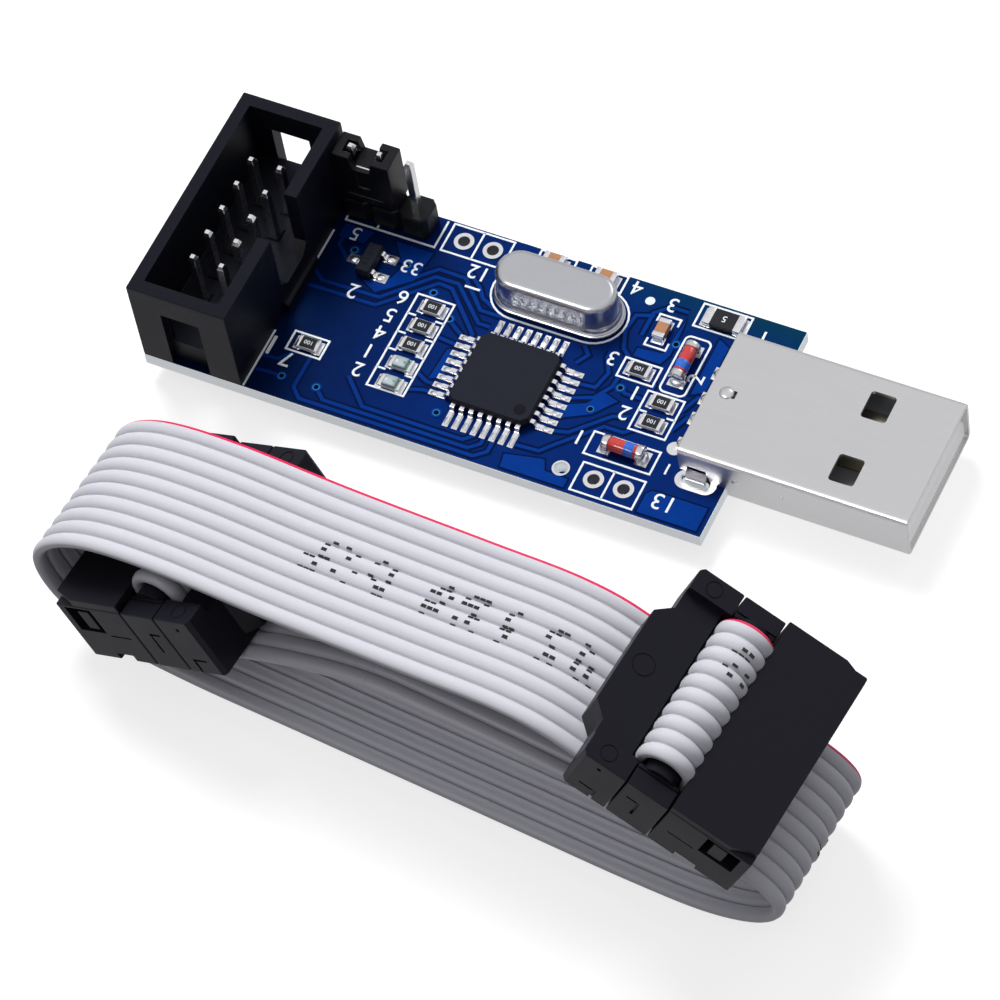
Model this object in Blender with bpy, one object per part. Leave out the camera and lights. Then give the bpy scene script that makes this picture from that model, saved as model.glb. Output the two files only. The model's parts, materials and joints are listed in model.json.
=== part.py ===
"""A USB microcontroller programmer: a small circuit board and its ten-way ribbon cable.

Board frame, in millimetres before scaling: x runs from the box header to the USB plug, y from the
front edge to the back edge, z up from the table. The board stands on the tails of its pins, and
the cable lies in front of it. The finished object is moved so that the origin is the bottom
centre of its overall box.
"""
import math

import bmesh
import bpy
from mathutils import Matrix, Vector

MM = 0.001
GAP = 0.05                     # clearance between pieces that touch on the real object

# Circuit board
BOARD_LENGTH = 48.1
BOARD_WIDTH = 20.5
BOARD_THICKNESS = 1.2
PIN_TAIL = 1.4                 # pins stand out this far below the board
BOARD_BOTTOM = PIN_TAIL
BOARD_TOP = BOARD_BOTTOM + BOARD_THICKNESS
ROUND_HOLE = 1.0               # plated hole of a square pin
CRYSTAL_HOLE_RADIUS = 0.4
LEG_SLOT_SIZE = (2.2, 0.7)     # plated slot of a USB shell leg
PITCH = 2.54
PIN_SIZE = 0.64

# Box header with two rows of five pins
HEADER_LENGTH = 20.5
HEADER_WIDTH = 8.7
HEADER_HEIGHT = 8.9
HEADER_WALL = 1.1
HEADER_FLOOR = 2.3
HEADER_ROW_X = (3.1, 3.1 + PITCH)
HEADER_MIDDLE = BOARD_WIDTH / 2
HEADER_PIN_TOP = 7.9
KEY_SLOT = 4.5
HEADER_FOOT_HALF = 2.6         # ledge at the foot of the key slot: half its length,
HEADER_FOOT_REACH = 0.5        # how far it stands out
HEADER_FOOT_HEIGHT = 1.2       # and its height
END_WINDOW = (2.65, 6.0)
END_WINDOW_TOP = 6.5
END_RECESS_DEPTH = 0.7

# Three-pin jumper header and its shunt
JUMPER_X = (10.1, 10.1 + PITCH, 10.1 + 2 * PITCH)
JUMPER_Y = 19.1
JUMPER_BASE = 2.5
JUMPER_PIN_TOP = 8.3
SHUNT_LENGTH = 5.05
SHUNT_WIDTH = 2.4
SHUNT_BOTTOM = 2.75
SHUNT_TOP = 8.1
SHUNT_WALL = 0.38
SHUNT_DIP = (0.85, 0.9)        # half length and depth of the dips in its long walls
CLIP_SHEET = 0.22
CLIP_SEAM_HALF = 0.3

# USB plug
PLUG_START = 44.25
PLUG_LENGTH = 19.0
PLUG_WIDTH = 12.0
PLUG_HEIGHT = 4.5
PLUG_WALL = 0.32
PLUG_MIDDLE = 10.8
PLUG_TOP = BOARD_TOP + 3.3
PLUG_BOTTOM = PLUG_TOP - PLUG_HEIGHT
PLUG_END = PLUG_START + PLUG_LENGTH
PLUG_CONTACT_Y = (-3.5, -1.0, 1.0, 3.5)
PLUG_CONTACT_WIDTH = 1.0
PLUG_LEG_X = (44.9, 46.6)
PLUG_LEG_Y = (6.18, 6.5)       # the legs' sides, either way from the plug's middle
PLUG_BRIDGE = (0.75, 1.0)      # heights above the board of the bridges to the legs
PLUG_WINDOW_X = (56.05, 58.15)
PLUG_WINDOW_OFFSET = 3.1
PLUG_WINDOW_HALF = 1.27
TONGUE_TOP = BOARD_TOP + 0.95
TONGUE_BLOCK_END = 50.0

# Places of the small parts on the board: centre x, centre y
CONTROLLER = (28.15, 7.6)
CRYSTAL = (28.85, 16.0)
REGULATOR = (13.05, 14.25)
FUSE = (41.75, 18.95)
COLUMN_X = 19.7
COLUMN_Y = 11.95
COLUMN_STEP = 1.9
RESISTORS_ON_X = ((12.0, 5.35), (37.4, 12.35), (40.35, 10.1), (40.35, 8.15))
CAPACITORS_ON_X = ((31.3, 19.5), (26.8, 19.5))
CAPACITOR_ON_Y = (37.55, 16.4)
DIODE_ON_Y = (40.55, 14.1)
DIODE_ON_X = (39.5, 5.0)
SPARE_HOLES = ((19.1, 18.9), (21.64, 18.9), (38.3, 1.9), (40.84, 1.9))
LOCATING_HOLES = (((35.5, 1.95), 0.55), ((35.35, 18.9), 0.4))

# Sizes of the small parts: length, width, height
RESISTOR_SIZE = (1.85, 1.1, 0.5)
LED_SIZE = (1.9, 1.1, 0.65)
CAPACITOR_SIZE = (1.8, 0.95, 0.8)
FUSE_SIZE = (3.2, 1.6, 0.6)
CONTROLLER_HALF = 3.5
CONTROLLER_TOP = 1.12
LEADS_PER_SIDE = 8
LEAD_PITCH = 0.8
CRYSTAL_BASE_SIZE = (11.05, 4.6, 0.45)
CRYSTAL_CAN_SIZE = (10.2, 3.85)
CRYSTAL_TOP = 3.5
CRYSTAL_LEAD_PITCH = 4.88

# Ribbon cable: ten conductors
RIBBON_WIDTH = 12.7
RIBBON_THICKNESS = 0.9
CABLE_TURN = math.radians(-5.0)      # the cable's length lies 5 degrees off the board's
CABLE_OFFSET = -17.0                 # middle of the ribbon, in front of the board's front edge
RIBBON_CUT = 0.2                     # half the gap between the ribbon's middle and its ends

# Ten-way sockets: m along the mating direction, l along the socket, t through its thickness,
# from the line where the ribbon enters, which is also the line it bends on.
SOCKET_BACK = 1.6
SOCKET_MIDDLE = 3.6
SOCKET_LENGTH = 17.3
SOCKET_THICKNESS = 6.0
RIBBON_SLOT = 13.4
SOCKET_A_ENTRY = (52.8, 16.6)
SOCKET_A_DROP = math.radians(24.0)
SOCKET_B_ENTRY = (26.7, 9.3)
SOCKET_B_DROP = math.radians(25.0)

# The ribbon's middle between the two sockets, as u along the cable and height z
RIBBON_COURSE = (
    (47.8, 17.6),
    (40.0, 17.0),
    (28.0, 16.0),
    (18.5, 15.6),
    (12.0, 14.4),
    (8.0, 12.0),
    (6.2, 8.6),
    (7.4, 4.6),
    (11.4, 1.5),
    (18.5, 0.5),
    (28.0, 0.5),
    (38.0, 0.5),
    (48.0, 0.5),
    (57.0, 0.5),
    (63.6, 1.1),
    (68.2, 3.2),
    (69.8, 6.2),
    (67.4, 8.8),
    (61.5, 10.5),
    (53.0, 11.7),
    (43.0, 12.3),
    (35.0, 12.1),
)


def clear_scene():
    for old in list(bpy.data.objects):
        bpy.data.objects.remove(old, do_unlink=True)


def make_material(name, colour, roughness, metallic=0.0):
    material = bpy.data.materials.new(name)
    material.use_nodes = True
    shader = material.node_tree.nodes["Principled BSDF"]
    shader.inputs["Base Color"].default_value = (*colour, 1.0)
    shader.inputs["Roughness"].default_value = roughness
    shader.inputs["Metallic"].default_value = metallic
    material.diffuse_color = (*colour, 1.0)
    return material


def make_object(name, mesh_builder, material, parent):
    """Add an object whose mesh is a bmesh in millimetres, scaled to metres."""
    bmesh.ops.scale(mesh_builder, vec=(MM, MM, MM), verts=mesh_builder.verts)
    bmesh.ops.recalc_face_normals(mesh_builder, faces=mesh_builder.faces)
    mesh = bpy.data.meshes.new(name)
    mesh_builder.to_mesh(mesh)
    mesh_builder.free()
    if material is not None:
        mesh.materials.append(material)
    thing = bpy.data.objects.new(name, mesh)
    thing.parent = parent
    bpy.context.scene.collection.objects.link(thing)
    return thing


def make_empty(name, parent, place, turn=(0.0, 0.0, 0.0)):
    empty = bpy.data.objects.new(name, None)
    empty.parent = parent
    empty.location = [value * MM for value in place]
    empty.rotation_euler = turn
    bpy.context.scene.collection.objects.link(empty)
    return empty


def add_block(builder, low, high):
    middle = [(a + b) / 2 for a, b in zip(low, high)]
    size = [b - a for a, b in zip(low, high)]
    place = Matrix.Translation(middle) @ Matrix.Diagonal((*size, 1.0))
    bmesh.ops.create_cube(builder, size=1.0, matrix=place)


def add_prism(builder, outline, low, high, axis):
    """Extrude an outline along x, y or z; it is given in the other two axes, in their order."""
    def point(pair, depth):
        if axis == "x":
            return (depth, pair[0], pair[1])
        if axis == "y":
            return (pair[0], depth, pair[1])
        return (pair[0], pair[1], depth)
    corners = [builder.verts.new(point(pair, low)) for pair in outline]
    face = builder.faces.new(corners)
    grown = bmesh.ops.extrude_face_region(builder, geom=[face])
    moved = [item for item in grown["geom"] if isinstance(item, bmesh.types.BMVert)]
    bmesh.ops.translate(builder, verts=moved, vec=Vector(point((0.0, 0.0), high - low)))


def add_cylinder(builder, centre, radius, low, high, sides=16):
    place = Matrix.Translation((centre[0], centre[1], (low + high) / 2))
    bmesh.ops.create_cone(builder, cap_ends=True, segments=sides, radius1=radius, radius2=radius,
                          depth=high - low, matrix=place)


def block(name, low, high, material, parent):
    builder = bmesh.new()
    add_block(builder, low, high)
    return make_object(name, builder, material, parent)


def hide_tool(tool):
    tool.hide_render = True
    tool.display_type = "WIRE"


def combine(target, tool, operation):
    """Cut the tool from the target, or unite the two, with a Boolean modifier."""
    hide_tool(tool)
    modifier = target.modifiers.new(tool.name, "BOOLEAN")
    modifier.operation = operation
    modifier.solver = "EXACT"
    modifier.object = tool


def cut(target, builder):
    tool = make_object(target.name + "_cut", builder, None, target.parent)
    combine(target, tool, "DIFFERENCE")


def unite(target, builder):
    tool = make_object(target.name + "_add", builder, None, target.parent)
    combine(target, tool, "UNION")


def soften(thing, width, segments=1):
    modifier = thing.modifiers.new("soft_edges", "BEVEL")
    modifier.width = width * MM
    modifier.segments = segments
    modifier.limit_method = "ANGLE"


def stadium(length, width, steps=8):
    """Outline of a slot with round ends, along x."""
    radius = width / 2
    reach = length / 2 - radius
    points = []
    for side in (1, -1):
        for step in range(steps + 1):
            angle = -math.pi / 2 + math.pi * step / steps
            points.append((side * (reach + radius * math.cos(angle)), side * radius * math.sin(angle)))
    return points


def shifted(outline, centre):
    return [(x + centre[0], y + centre[1]) for x, y in outline]


def header_pin_places():
    return [(x, HEADER_MIDDLE + PITCH * (row - 2)) for row in range(5) for x in HEADER_ROW_X]


def jumper_pin_places():
    return [(x, JUMPER_Y) for x in JUMPER_X]


def crystal_lead_places():
    half = CRYSTAL_LEAD_PITCH / 2
    return [(CRYSTAL[0] - half, CRYSTAL[1]), (CRYSTAL[0] + half, CRYSTAL[1])]


def plug_leg_sides():
    """The y range of each of the two shell legs, outside the shell's side walls."""
    inner, outer = PLUG_LEG_Y
    return ((PLUG_MIDDLE - outer, PLUG_MIDDLE - inner), (PLUG_MIDDLE + inner, PLUG_MIDDLE + outer))


def build_board(parent, materials):
    board = block("circuit_board", (0, 0, BOARD_BOTTOM), (BOARD_LENGTH, BOARD_WIDTH, BOARD_TOP),
                  materials["board"], parent)
    holes = bmesh.new()
    below = BOARD_BOTTOM - 1
    above = BOARD_TOP + 1
    for centre in header_pin_places() + jumper_pin_places() + list(SPARE_HOLES):
        add_cylinder(holes, centre, ROUND_HOLE / 2, below, above)
    for centre in crystal_lead_places():
        add_cylinder(holes, centre, CRYSTAL_HOLE_RADIUS, below, above, sides=12)
    for centre, radius in LOCATING_HOLES:
        add_cylinder(holes, centre, radius, below, above)
    middle_x = (PLUG_LEG_X[0] + PLUG_LEG_X[1]) / 2
    for low, high in plug_leg_sides():
        outline = shifted(stadium(*LEG_SLOT_SIZE, steps=6), (middle_x, (low + high) / 2))
        add_prism(holes, outline, below, above, "z")
    cut(board, holes)


def build_pin(name, place, top, material, parent):
    """A square pin with tapered ends, through the board."""
    pin = bmesh.new()
    half = PIN_SIZE / 2
    tip = half * 0.55
    taper = 0.35
    levels = ((0.0, tip), (taper, half), (top - taper, half), (top, tip))
    rings = []
    for z, reach in levels:
        corners = ((-reach, -reach), (reach, -reach), (reach, reach), (-reach, reach))
        rings.append([pin.verts.new((place[0] + x, place[1] + y, z)) for x, y in corners])
    pin.faces.new(rings[0])
    pin.faces.new(rings[-1])
    for lower, upper in zip(rings, rings[1:]):
        for i in range(4):
            j = (i + 1) % 4
            pin.faces.new((lower[i], lower[j], upper[j], upper[i]))
    make_object(name, pin, material, parent)


def end_openings(depth, bottom, inset):
    """A cutter for both ends of the header, from the outside in to a depth."""
    openings = bmesh.new()
    for low, high in ((-1, depth), (HEADER_LENGTH - depth, HEADER_LENGTH + 1)):
        add_block(openings, (END_WINDOW[0] + inset, low, bottom),
                  (END_WINDOW[1] - inset, high, BOARD_TOP + END_WINDOW_TOP - inset))
    return openings


def build_header(parent, materials):
    bottom = BOARD_TOP + GAP
    top = BOARD_TOP + HEADER_HEIGHT
    shroud = block("header_shroud", (0, 0, bottom), (HEADER_WIDTH, HEADER_LENGTH, top),
                   materials["black_plastic"], parent)
    foot = bmesh.new()
    add_block(foot, (HEADER_WIDTH - HEADER_FOOT_REACH, HEADER_MIDDLE - HEADER_FOOT_HALF, bottom),
              (HEADER_WIDTH + HEADER_FOOT_REACH, HEADER_MIDDLE + HEADER_FOOT_HALF,
               bottom + HEADER_FOOT_HEIGHT))
    unite(shroud, foot)
    cavity = bmesh.new()
    floor = BOARD_TOP + HEADER_FLOOR
    add_block(cavity, (HEADER_WALL, HEADER_WALL, floor),
              (HEADER_WIDTH - HEADER_WALL, HEADER_LENGTH - HEADER_WALL, top + 1))
    cut(shroud, cavity)
    key_slot = bmesh.new()
    add_block(key_slot, (HEADER_WIDTH - HEADER_WALL - 0.5, HEADER_MIDDLE - KEY_SLOT / 2, floor),
              (HEADER_WIDTH + 1, HEADER_MIDDLE + KEY_SLOT / 2, top + 2))
    cut(shroud, key_slot)
    cut(shroud, end_openings(END_RECESS_DEPTH, BOARD_BOTTOM, 0.0))
    cut(shroud, end_openings(HEADER_WALL + 0.5, floor, 0.01))
    sleeves = bmesh.new()
    sleeve = PIN_SIZE / 2 + GAP
    for x, y in header_pin_places():
        add_block(sleeves, (x - sleeve, y - sleeve, BOARD_BOTTOM), (x + sleeve, y + sleeve, floor + 1))
    cut(shroud, sleeves)
    for number, place in enumerate(header_pin_places(), start=1):
        build_pin(f"header_pin_{number}", place, BOARD_TOP + HEADER_PIN_TOP, materials["pin"], parent)


def build_jumper_header(parent, materials):
    """A black strip of three cells with chamfered corners, on three pins."""
    half = JUMPER_BASE / 2
    notch = 0.35
    start = JUMPER_X[0] - PITCH / 2
    outline = []
    for side in (-1, 1):
        cells = range(3) if side < 0 else reversed(range(3))
        for cell in cells:
            edges = (start + cell * PITCH, start + (cell + 1) * PITCH)
            near, far = edges if side < 0 else reversed(edges)
            inward = notch if side < 0 else -notch
            outline.append((near, JUMPER_Y + side * (half - notch)))
            outline.append((near + inward, JUMPER_Y + side * half))
            outline.append((far - inward, JUMPER_Y + side * half))
        outline.append((far, JUMPER_Y + side * (half - notch)))
    builder = bmesh.new()
    bottom = BOARD_TOP + GAP
    add_prism(builder, outline, bottom, BOARD_TOP + JUMPER_BASE, "z")
    base = make_object("jumper_header_base", builder, materials["black_plastic"], parent)
    sleeves = bmesh.new()
    sleeve = PIN_SIZE / 2 + GAP
    for x, y in jumper_pin_places():
        add_block(sleeves, (x - sleeve, y - sleeve, BOARD_BOTTOM),
                  (x + sleeve, y + sleeve, BOARD_TOP + JUMPER_BASE + 1))
    cut(base, sleeves)
    for number, place in enumerate(jumper_pin_places(), start=1):
        build_pin(f"jumper_pin_{number}", place, BOARD_TOP + JUMPER_PIN_TOP, materials["pin"], parent)


def build_shunt(parent, materials):
    """The jumper's plastic cap, open at both ends, and the folded spring clip inside it."""
    lift = make_empty("jumper_lift_axis", parent, ((JUMPER_X[0] + JUMPER_X[1]) / 2, JUMPER_Y, 0))
    length = SHUNT_LENGTH / 2
    width = SHUNT_WIDTH / 2
    bottom = BOARD_TOP + SHUNT_BOTTOM
    top = BOARD_TOP + SHUNT_TOP
    cap = block("jumper_shunt", (-length, -width, bottom), (length, width, top),
                materials["black_plastic"], lift)
    hollow = bmesh.new()
    wall = SHUNT_WALL
    add_block(hollow, (-length + wall, -width + wall, bottom - 1), (length - wall, width - wall, top + 1))
    cut(cap, hollow)
    dips = bmesh.new()
    dip_half, dip_depth = SHUNT_DIP
    add_block(dips, (-dip_half, -width - 1, top - dip_depth), (dip_half, width + 1, top + 0.5))
    cut(cap, dips)
    reach_x = length - wall - 0.1
    reach_y = width - wall - 0.1
    sheet = CLIP_SHEET
    low = bottom + 0.3
    high = top - dip_depth - 0.1
    clip = block("shunt_contact", (-reach_x, -reach_y, low), (reach_x, reach_y, high),
                 materials["pin"], lift)
    inside = bmesh.new()
    add_block(inside, (-reach_x + sheet, -reach_y + sheet, low - 1),
              (reach_x - sheet, reach_y - sheet, high + 1))
    cut(clip, inside)
    seam = bmesh.new()
    add_block(seam, (-CLIP_SEAM_HALF, 0.2, low - 0.5), (CLIP_SEAM_HALF, width, high + 0.5))
    cut(clip, seam)


def lead_outline(start, reach, foot, thickness, top, bottom):
    """Side view of a bent lead: out of the body, down to the board and out along it."""
    return [
        (start, top), (start + reach, top), (start + reach + 0.15, bottom + thickness),
        (start + reach + 0.15 + foot, bottom + thickness), (start + reach + 0.15 + foot, bottom),
        (start + reach - thickness, bottom), (start + reach - thickness - 0.15, top - thickness),
        (start, top - thickness),
    ]


def add_leads(builder, centre, side, offsets, width, outline):
    """Copies of a bent lead along one side of a chip: side is 0 for +x, then quarter turns."""
    for offset in offsets:
        first = len(builder.verts)
        add_prism(builder, outline, offset - width / 2, offset + width / 2, "y")
        builder.verts.ensure_lookup_table()
        turn = Matrix.Translation((*centre, 0)) @ Matrix.Rotation(side * math.pi / 2, 4, "Z")
        bmesh.ops.transform(builder, matrix=turn, verts=builder.verts[first:])


def build_controller(parent, materials):
    half = CONTROLLER_HALF
    body = block("microcontroller",
                 (CONTROLLER[0] - half, CONTROLLER[1] - half, BOARD_TOP + 0.12),
                 (CONTROLLER[0] + half, CONTROLLER[1] + half, BOARD_TOP + CONTROLLER_TOP),
                 materials["chip"], parent)
    leads = bmesh.new()
    outline = lead_outline(half - 0.3, 0.65, 0.5, 0.15, BOARD_TOP + 0.7, BOARD_TOP + GAP)
    offsets = [LEAD_PITCH * (i - (LEADS_PER_SIDE - 1) / 2) for i in range(LEADS_PER_SIDE)]
    for side in range(4):
        add_leads(leads, CONTROLLER, side, offsets, 0.37, outline)
    unite(body, leads)


def build_regulator(parent, materials):
    half_x = 0.65
    half_y = 1.45
    body = block("voltage_regulator",
                 (REGULATOR[0] - half_x, REGULATOR[1] - half_y, BOARD_TOP + 0.1),
                 (REGULATOR[0] + half_x, REGULATOR[1] + half_y, BOARD_TOP + 1.05),
                 materials["chip"], parent)
    leads = bmesh.new()
    outline = lead_outline(half_x - 0.2, 0.4, 0.3, 0.12, BOARD_TOP + 0.6, BOARD_TOP + GAP)
    add_leads(leads, REGULATOR, 0, (-0.95, 0.95), 0.42, outline)
    add_leads(leads, REGULATOR, 2, (0.0,), 0.42, outline)
    unite(body, leads)


def build_crystal(parent, materials):
    length, width, height = CRYSTAL_BASE_SIZE
    base_bottom = BOARD_TOP + 0.15
    base_top = base_bottom + height
    builder = bmesh.new()
    add_prism(builder, shifted(stadium(length, width, steps=10), CRYSTAL), base_bottom, base_top, "z")
    base = make_object("crystal_base", builder, materials["steel"], parent)
    leads = bmesh.new()
    for place in crystal_lead_places():
        add_cylinder(leads, place, 0.22, 0.3, base_bottom + 0.2, sides=10)
    unite(base, leads)
    builder = bmesh.new()
    can_bottom = base_top + GAP
    can_top = BOARD_TOP + CRYSTAL_TOP
    outline = shifted(stadium(*CRYSTAL_CAN_SIZE, steps=10), CRYSTAL)
    add_prism(builder, outline, can_bottom, can_top, "z")
    can = make_object("crystal_can", builder, materials["steel"], parent)
    soften(can, 0.45, segments=2)


def build_chip(name, centre, size, along, material, parent):
    """A rectangular surface-mount part, on its solder pads."""
    length, width, height = size
    half = (length / 2, width / 2) if along == "x" else (width / 2, length / 2)
    bottom = BOARD_TOP + GAP
    low = (centre[0] - half[0], centre[1] - half[1], bottom)
    high = (centre[0] + half[0], centre[1] + half[1], bottom + height)
    block(name, low, high, material, parent)


def build_small_parts(parent, materials):
    column = [(COLUMN_X, COLUMN_Y - i * COLUMN_STEP) for i in range(5)]
    resistors = column[:3] + list(RESISTORS_ON_X)
    for number, centre in enumerate(resistors, start=1):
        build_chip(f"resistor_{number}", centre, RESISTOR_SIZE, "x", materials["resistor"], parent)
    for number, centre in enumerate(column[3:], start=1):
        build_chip(f"led_{number}", centre, LED_SIZE, "x", materials["led"], parent)
    capacitors = [(centre, "x") for centre in CAPACITORS_ON_X] + [(CAPACITOR_ON_Y, "y")]
    for number, (centre, along) in enumerate(capacitors, start=1):
        build_chip(f"capacitor_{number}", centre, CAPACITOR_SIZE, along,
                   materials["capacitor"], parent)
    build_chip("fuse", FUSE, FUSE_SIZE, "x", materials["fuse"], parent)


def build_diode(name, centre, along, material, parent):
    """A glass diode with metal end caps, lying on the board."""
    builder = bmesh.new()
    end = 0.54
    cap = 0.68
    glass = 0.59
    stations = ((-1.75, end), (-1.62, cap), (-1.2, cap), (-1.15, glass),
                (1.15, glass), (1.2, cap), (1.62, cap), (1.75, end))
    sides = 16
    rings = []
    for reach, radius in stations:
        ring = []
        for i in range(sides):
            angle = 2 * math.pi * (i + 0.5) / sides
            ring.append(builder.verts.new((reach, radius * math.cos(angle), radius * math.sin(angle))))
        rings.append(ring)
    builder.faces.new(rings[0])
    builder.faces.new(rings[-1])
    for left, right in zip(rings, rings[1:]):
        for i in range(sides):
            j = (i + 1) % sides
            builder.faces.new((left[i], left[j], right[j], right[i]))
    diode = make_object(name, builder, material, parent)
    diode.location = [value * MM for value in (*centre, BOARD_TOP + GAP + cap)]
    if along == "y":
        diode.rotation_euler = (0, 0, math.pi / 2)


def build_plug_shell(parent, materials):
    near = PLUG_MIDDLE - PLUG_WIDTH / 2
    far = PLUG_MIDDLE + PLUG_WIDTH / 2
    shell = block("usb_shell", (PLUG_START, near, PLUG_BOTTOM), (PLUG_END, far, PLUG_TOP),
                  materials["steel"], parent)
    inside = bmesh.new()
    add_block(inside, (PLUG_START - 1, near + PLUG_WALL, PLUG_BOTTOM + PLUG_WALL),
              (PLUG_END + 1, far - PLUG_WALL, PLUG_TOP - PLUG_WALL))
    cut(shell, inside)
    board_room = bmesh.new()
    add_block(board_room, (PLUG_START - 2, near - 1, PLUG_BOTTOM - 1),
              (BOARD_LENGTH + 0.12, far + 1, BOARD_TOP + GAP))
    cut(shell, board_room)
    windows = bmesh.new()
    for side in (-1, 1):
        middle = PLUG_MIDDLE + side * PLUG_WINDOW_OFFSET
        add_block(windows, (PLUG_WINDOW_X[0], middle - PLUG_WINDOW_HALF, PLUG_BOTTOM - 0.5),
                  (PLUG_WINDOW_X[1], middle + PLUG_WINDOW_HALF, PLUG_TOP + 0.5))
    cut(shell, windows)
    legs = bmesh.new()
    bridge_low, bridge_high = PLUG_BRIDGE
    for side, (low, high) in zip((-1, 1), plug_leg_sides()):
        add_block(legs, (PLUG_LEG_X[0], low, 0.0), (PLUG_LEG_X[1], high, BOARD_TOP + bridge_high))
        wall = PLUG_MIDDLE + side * (PLUG_WIDTH / 2 - PLUG_WALL / 2)
        outer = low if side < 0 else high
        add_block(legs, (PLUG_LEG_X[0] + 0.01, min(wall, outer), BOARD_TOP + bridge_low),
                  (PLUG_LEG_X[1] - 0.01, max(wall, outer), BOARD_TOP + bridge_high + 0.01))
    unite(shell, legs)
    shell.modifiers[-1].use_self = True


def build_tongue(parent, materials):
    """The plug's insulator: a block in the back of the shell and a tongue under the contacts."""
    inner_bottom = PLUG_BOTTOM + PLUG_WALL + 0.06
    inner_top = PLUG_TOP - PLUG_WALL - 0.06
    start = PLUG_START + 0.35
    edge = BOARD_LENGTH + 0.15
    outline = [
        (start, BOARD_TOP + 0.12), (edge, BOARD_TOP + 0.12), (edge, inner_bottom),
        (PLUG_END - 0.35, inner_bottom), (PLUG_END - 0.35, TONGUE_TOP - 0.25),
        (PLUG_END - 0.6, TONGUE_TOP), (TONGUE_BLOCK_END, TONGUE_TOP), (TONGUE_BLOCK_END, inner_top),
        (start, inner_top),
    ]
    reach = PLUG_WIDTH / 2 - PLUG_WALL - 0.08
    builder = bmesh.new()
    add_prism(builder, outline, PLUG_MIDDLE - reach, PLUG_MIDDLE + reach, "y")
    tongue = make_object("usb_tongue", builder, materials["white_plastic"], parent)
    grooves = bmesh.new()
    for offset in PLUG_CONTACT_Y:
        middle = PLUG_MIDDLE + offset
        half = PLUG_CONTACT_WIDTH / 2 + 0.08
        add_block(grooves, (start - 1, middle - half, TONGUE_TOP - 0.15),
                  (PLUG_END - 1.6, middle + half, TONGUE_TOP + 0.2))
    cut(tongue, grooves)
    for number, offset in enumerate(PLUG_CONTACT_Y, start=1):
        build_plug_contact(f"usb_contact_{number}", PLUG_MIDDLE + offset, parent, materials)


def build_plug_contact(name, middle, parent, materials):
    """A strip on the tongue that leaves the shell's back and bends down to its pad."""
    low = TONGUE_TOP - 0.1
    high = TONGUE_TOP + 0.12
    back = PLUG_START - 0.35
    foot = BOARD_TOP + GAP
    outline = [
        (PLUG_END - 1.8, low), (PLUG_END - 1.8, high), (back - 0.2, high), (back - 0.3, foot + 0.22),
        (back - 0.9, foot + 0.22), (back - 0.9, foot), (back - 0.1, foot), (back, low),
    ]
    builder = bmesh.new()
    half = PLUG_CONTACT_WIDTH / 2
    add_prism(builder, outline, middle - half, middle + half, "y")
    make_object(name, builder, materials["gold"], parent)


def smooth_course(points, first_slope, last_slope, steps):
    """Points on a smooth curve through the given ones, with the slopes at its ends set."""
    slopes = [first_slope]
    for before, after in zip(points, points[2:]):
        slopes.append(((after[0] - before[0]) / 2, (after[1] - before[1]) / 2))
    slopes.append(last_slope)
    course = []
    for i in range(len(points) - 1):
        for step in range(steps):
            s = step / steps
            weights = (2 * s**3 - 3 * s**2 + 1, s**3 - 2 * s**2 + s, -2 * s**3 + 3 * s**2, s**3 - s**2)
            knots = (points[i], slopes[i], points[i + 1], slopes[i + 1])
            course.append(tuple(sum(w * k[axis] for w, k in zip(weights, knots)) for axis in (0, 1)))
    course.append(points[-1])
    return course


def middle_course():
    """The ribbon's middle line from just off socket A's entry to just off socket B's."""
    toward_a = (math.cos(SOCKET_A_DROP), -math.sin(SOCKET_A_DROP))
    toward_b = (-math.cos(SOCKET_B_DROP), -math.sin(SOCKET_B_DROP))
    start = tuple(e - RIBBON_CUT * d for e, d in zip(SOCKET_A_ENTRY, toward_a))
    end = tuple(e - RIBBON_CUT * d for e, d in zip(SOCKET_B_ENTRY, toward_b))
    reach = 5.0
    first_slope = (-reach * toward_a[0], -reach * toward_a[1])
    last_slope = (reach * toward_b[0], reach * toward_b[1])
    return smooth_course([start, *RIBBON_COURSE, end], first_slope, last_slope, steps=5)


def add_ribbon(builder, course):
    """A flat strip of the ribbon's width and thickness, along a line of x and z."""
    rings = []
    half_width = RIBBON_WIDTH / 2
    half_thick = RIBBON_THICKNESS / 2
    for i, here in enumerate(course):
        before = course[max(i - 1, 0)]
        after = course[min(i + 1, len(course) - 1)]
        along = Vector((after[0] - before[0], after[1] - before[1])).normalized()
        across = Vector((-along[1], along[0])) * half_thick
        ring = []
        for side, y in ((1, -half_width), (1, half_width), (-1, half_width), (-1, -half_width)):
            ring.append(builder.verts.new((here[0] + side * across[0], y, here[1] + side * across[1])))
        rings.append(ring)
    builder.faces.new(rings[0])
    builder.faces.new(rings[-1])
    for left, right in zip(rings, rings[1:]):
        for i in range(4):
            j = (i + 1) % 4
            builder.faces.new((left[i], left[j], right[j], right[i]))


# Stations of a socket along m, from the line where the ribbon enters
RELIEF_END = SOCKET_BACK + 3.1
RELIEF_EAR_END = SOCKET_BACK + 3.7
COVER_START = SOCKET_BACK + 4.25
COVER_END = SOCKET_BACK + 6.85
COVER_EAR = (SOCKET_BACK + 3.8, SOCKET_BACK + 7.25)
BODY_GROOVE_END = SOCKET_BACK + 7.95
BODY_START = SOCKET_BACK + 7.35
BODY_END = SOCKET_BACK + 14.3
FIRST_PASS = (RELIEF_END + COVER_START) / 2
SECOND_PASS = (COVER_END + BODY_GROOVE_END) / 2
WRAP_RADIUS = (SECOND_PASS - FIRST_PASS) / 2
WRAP_HEIGHT = SOCKET_MIDDLE + 2.4

# Half-lengths of the strain relief's hump, at its foot and at its outer edge
HUMP_FOOT = 5.2
HUMP_EDGE = 4.1


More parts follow.
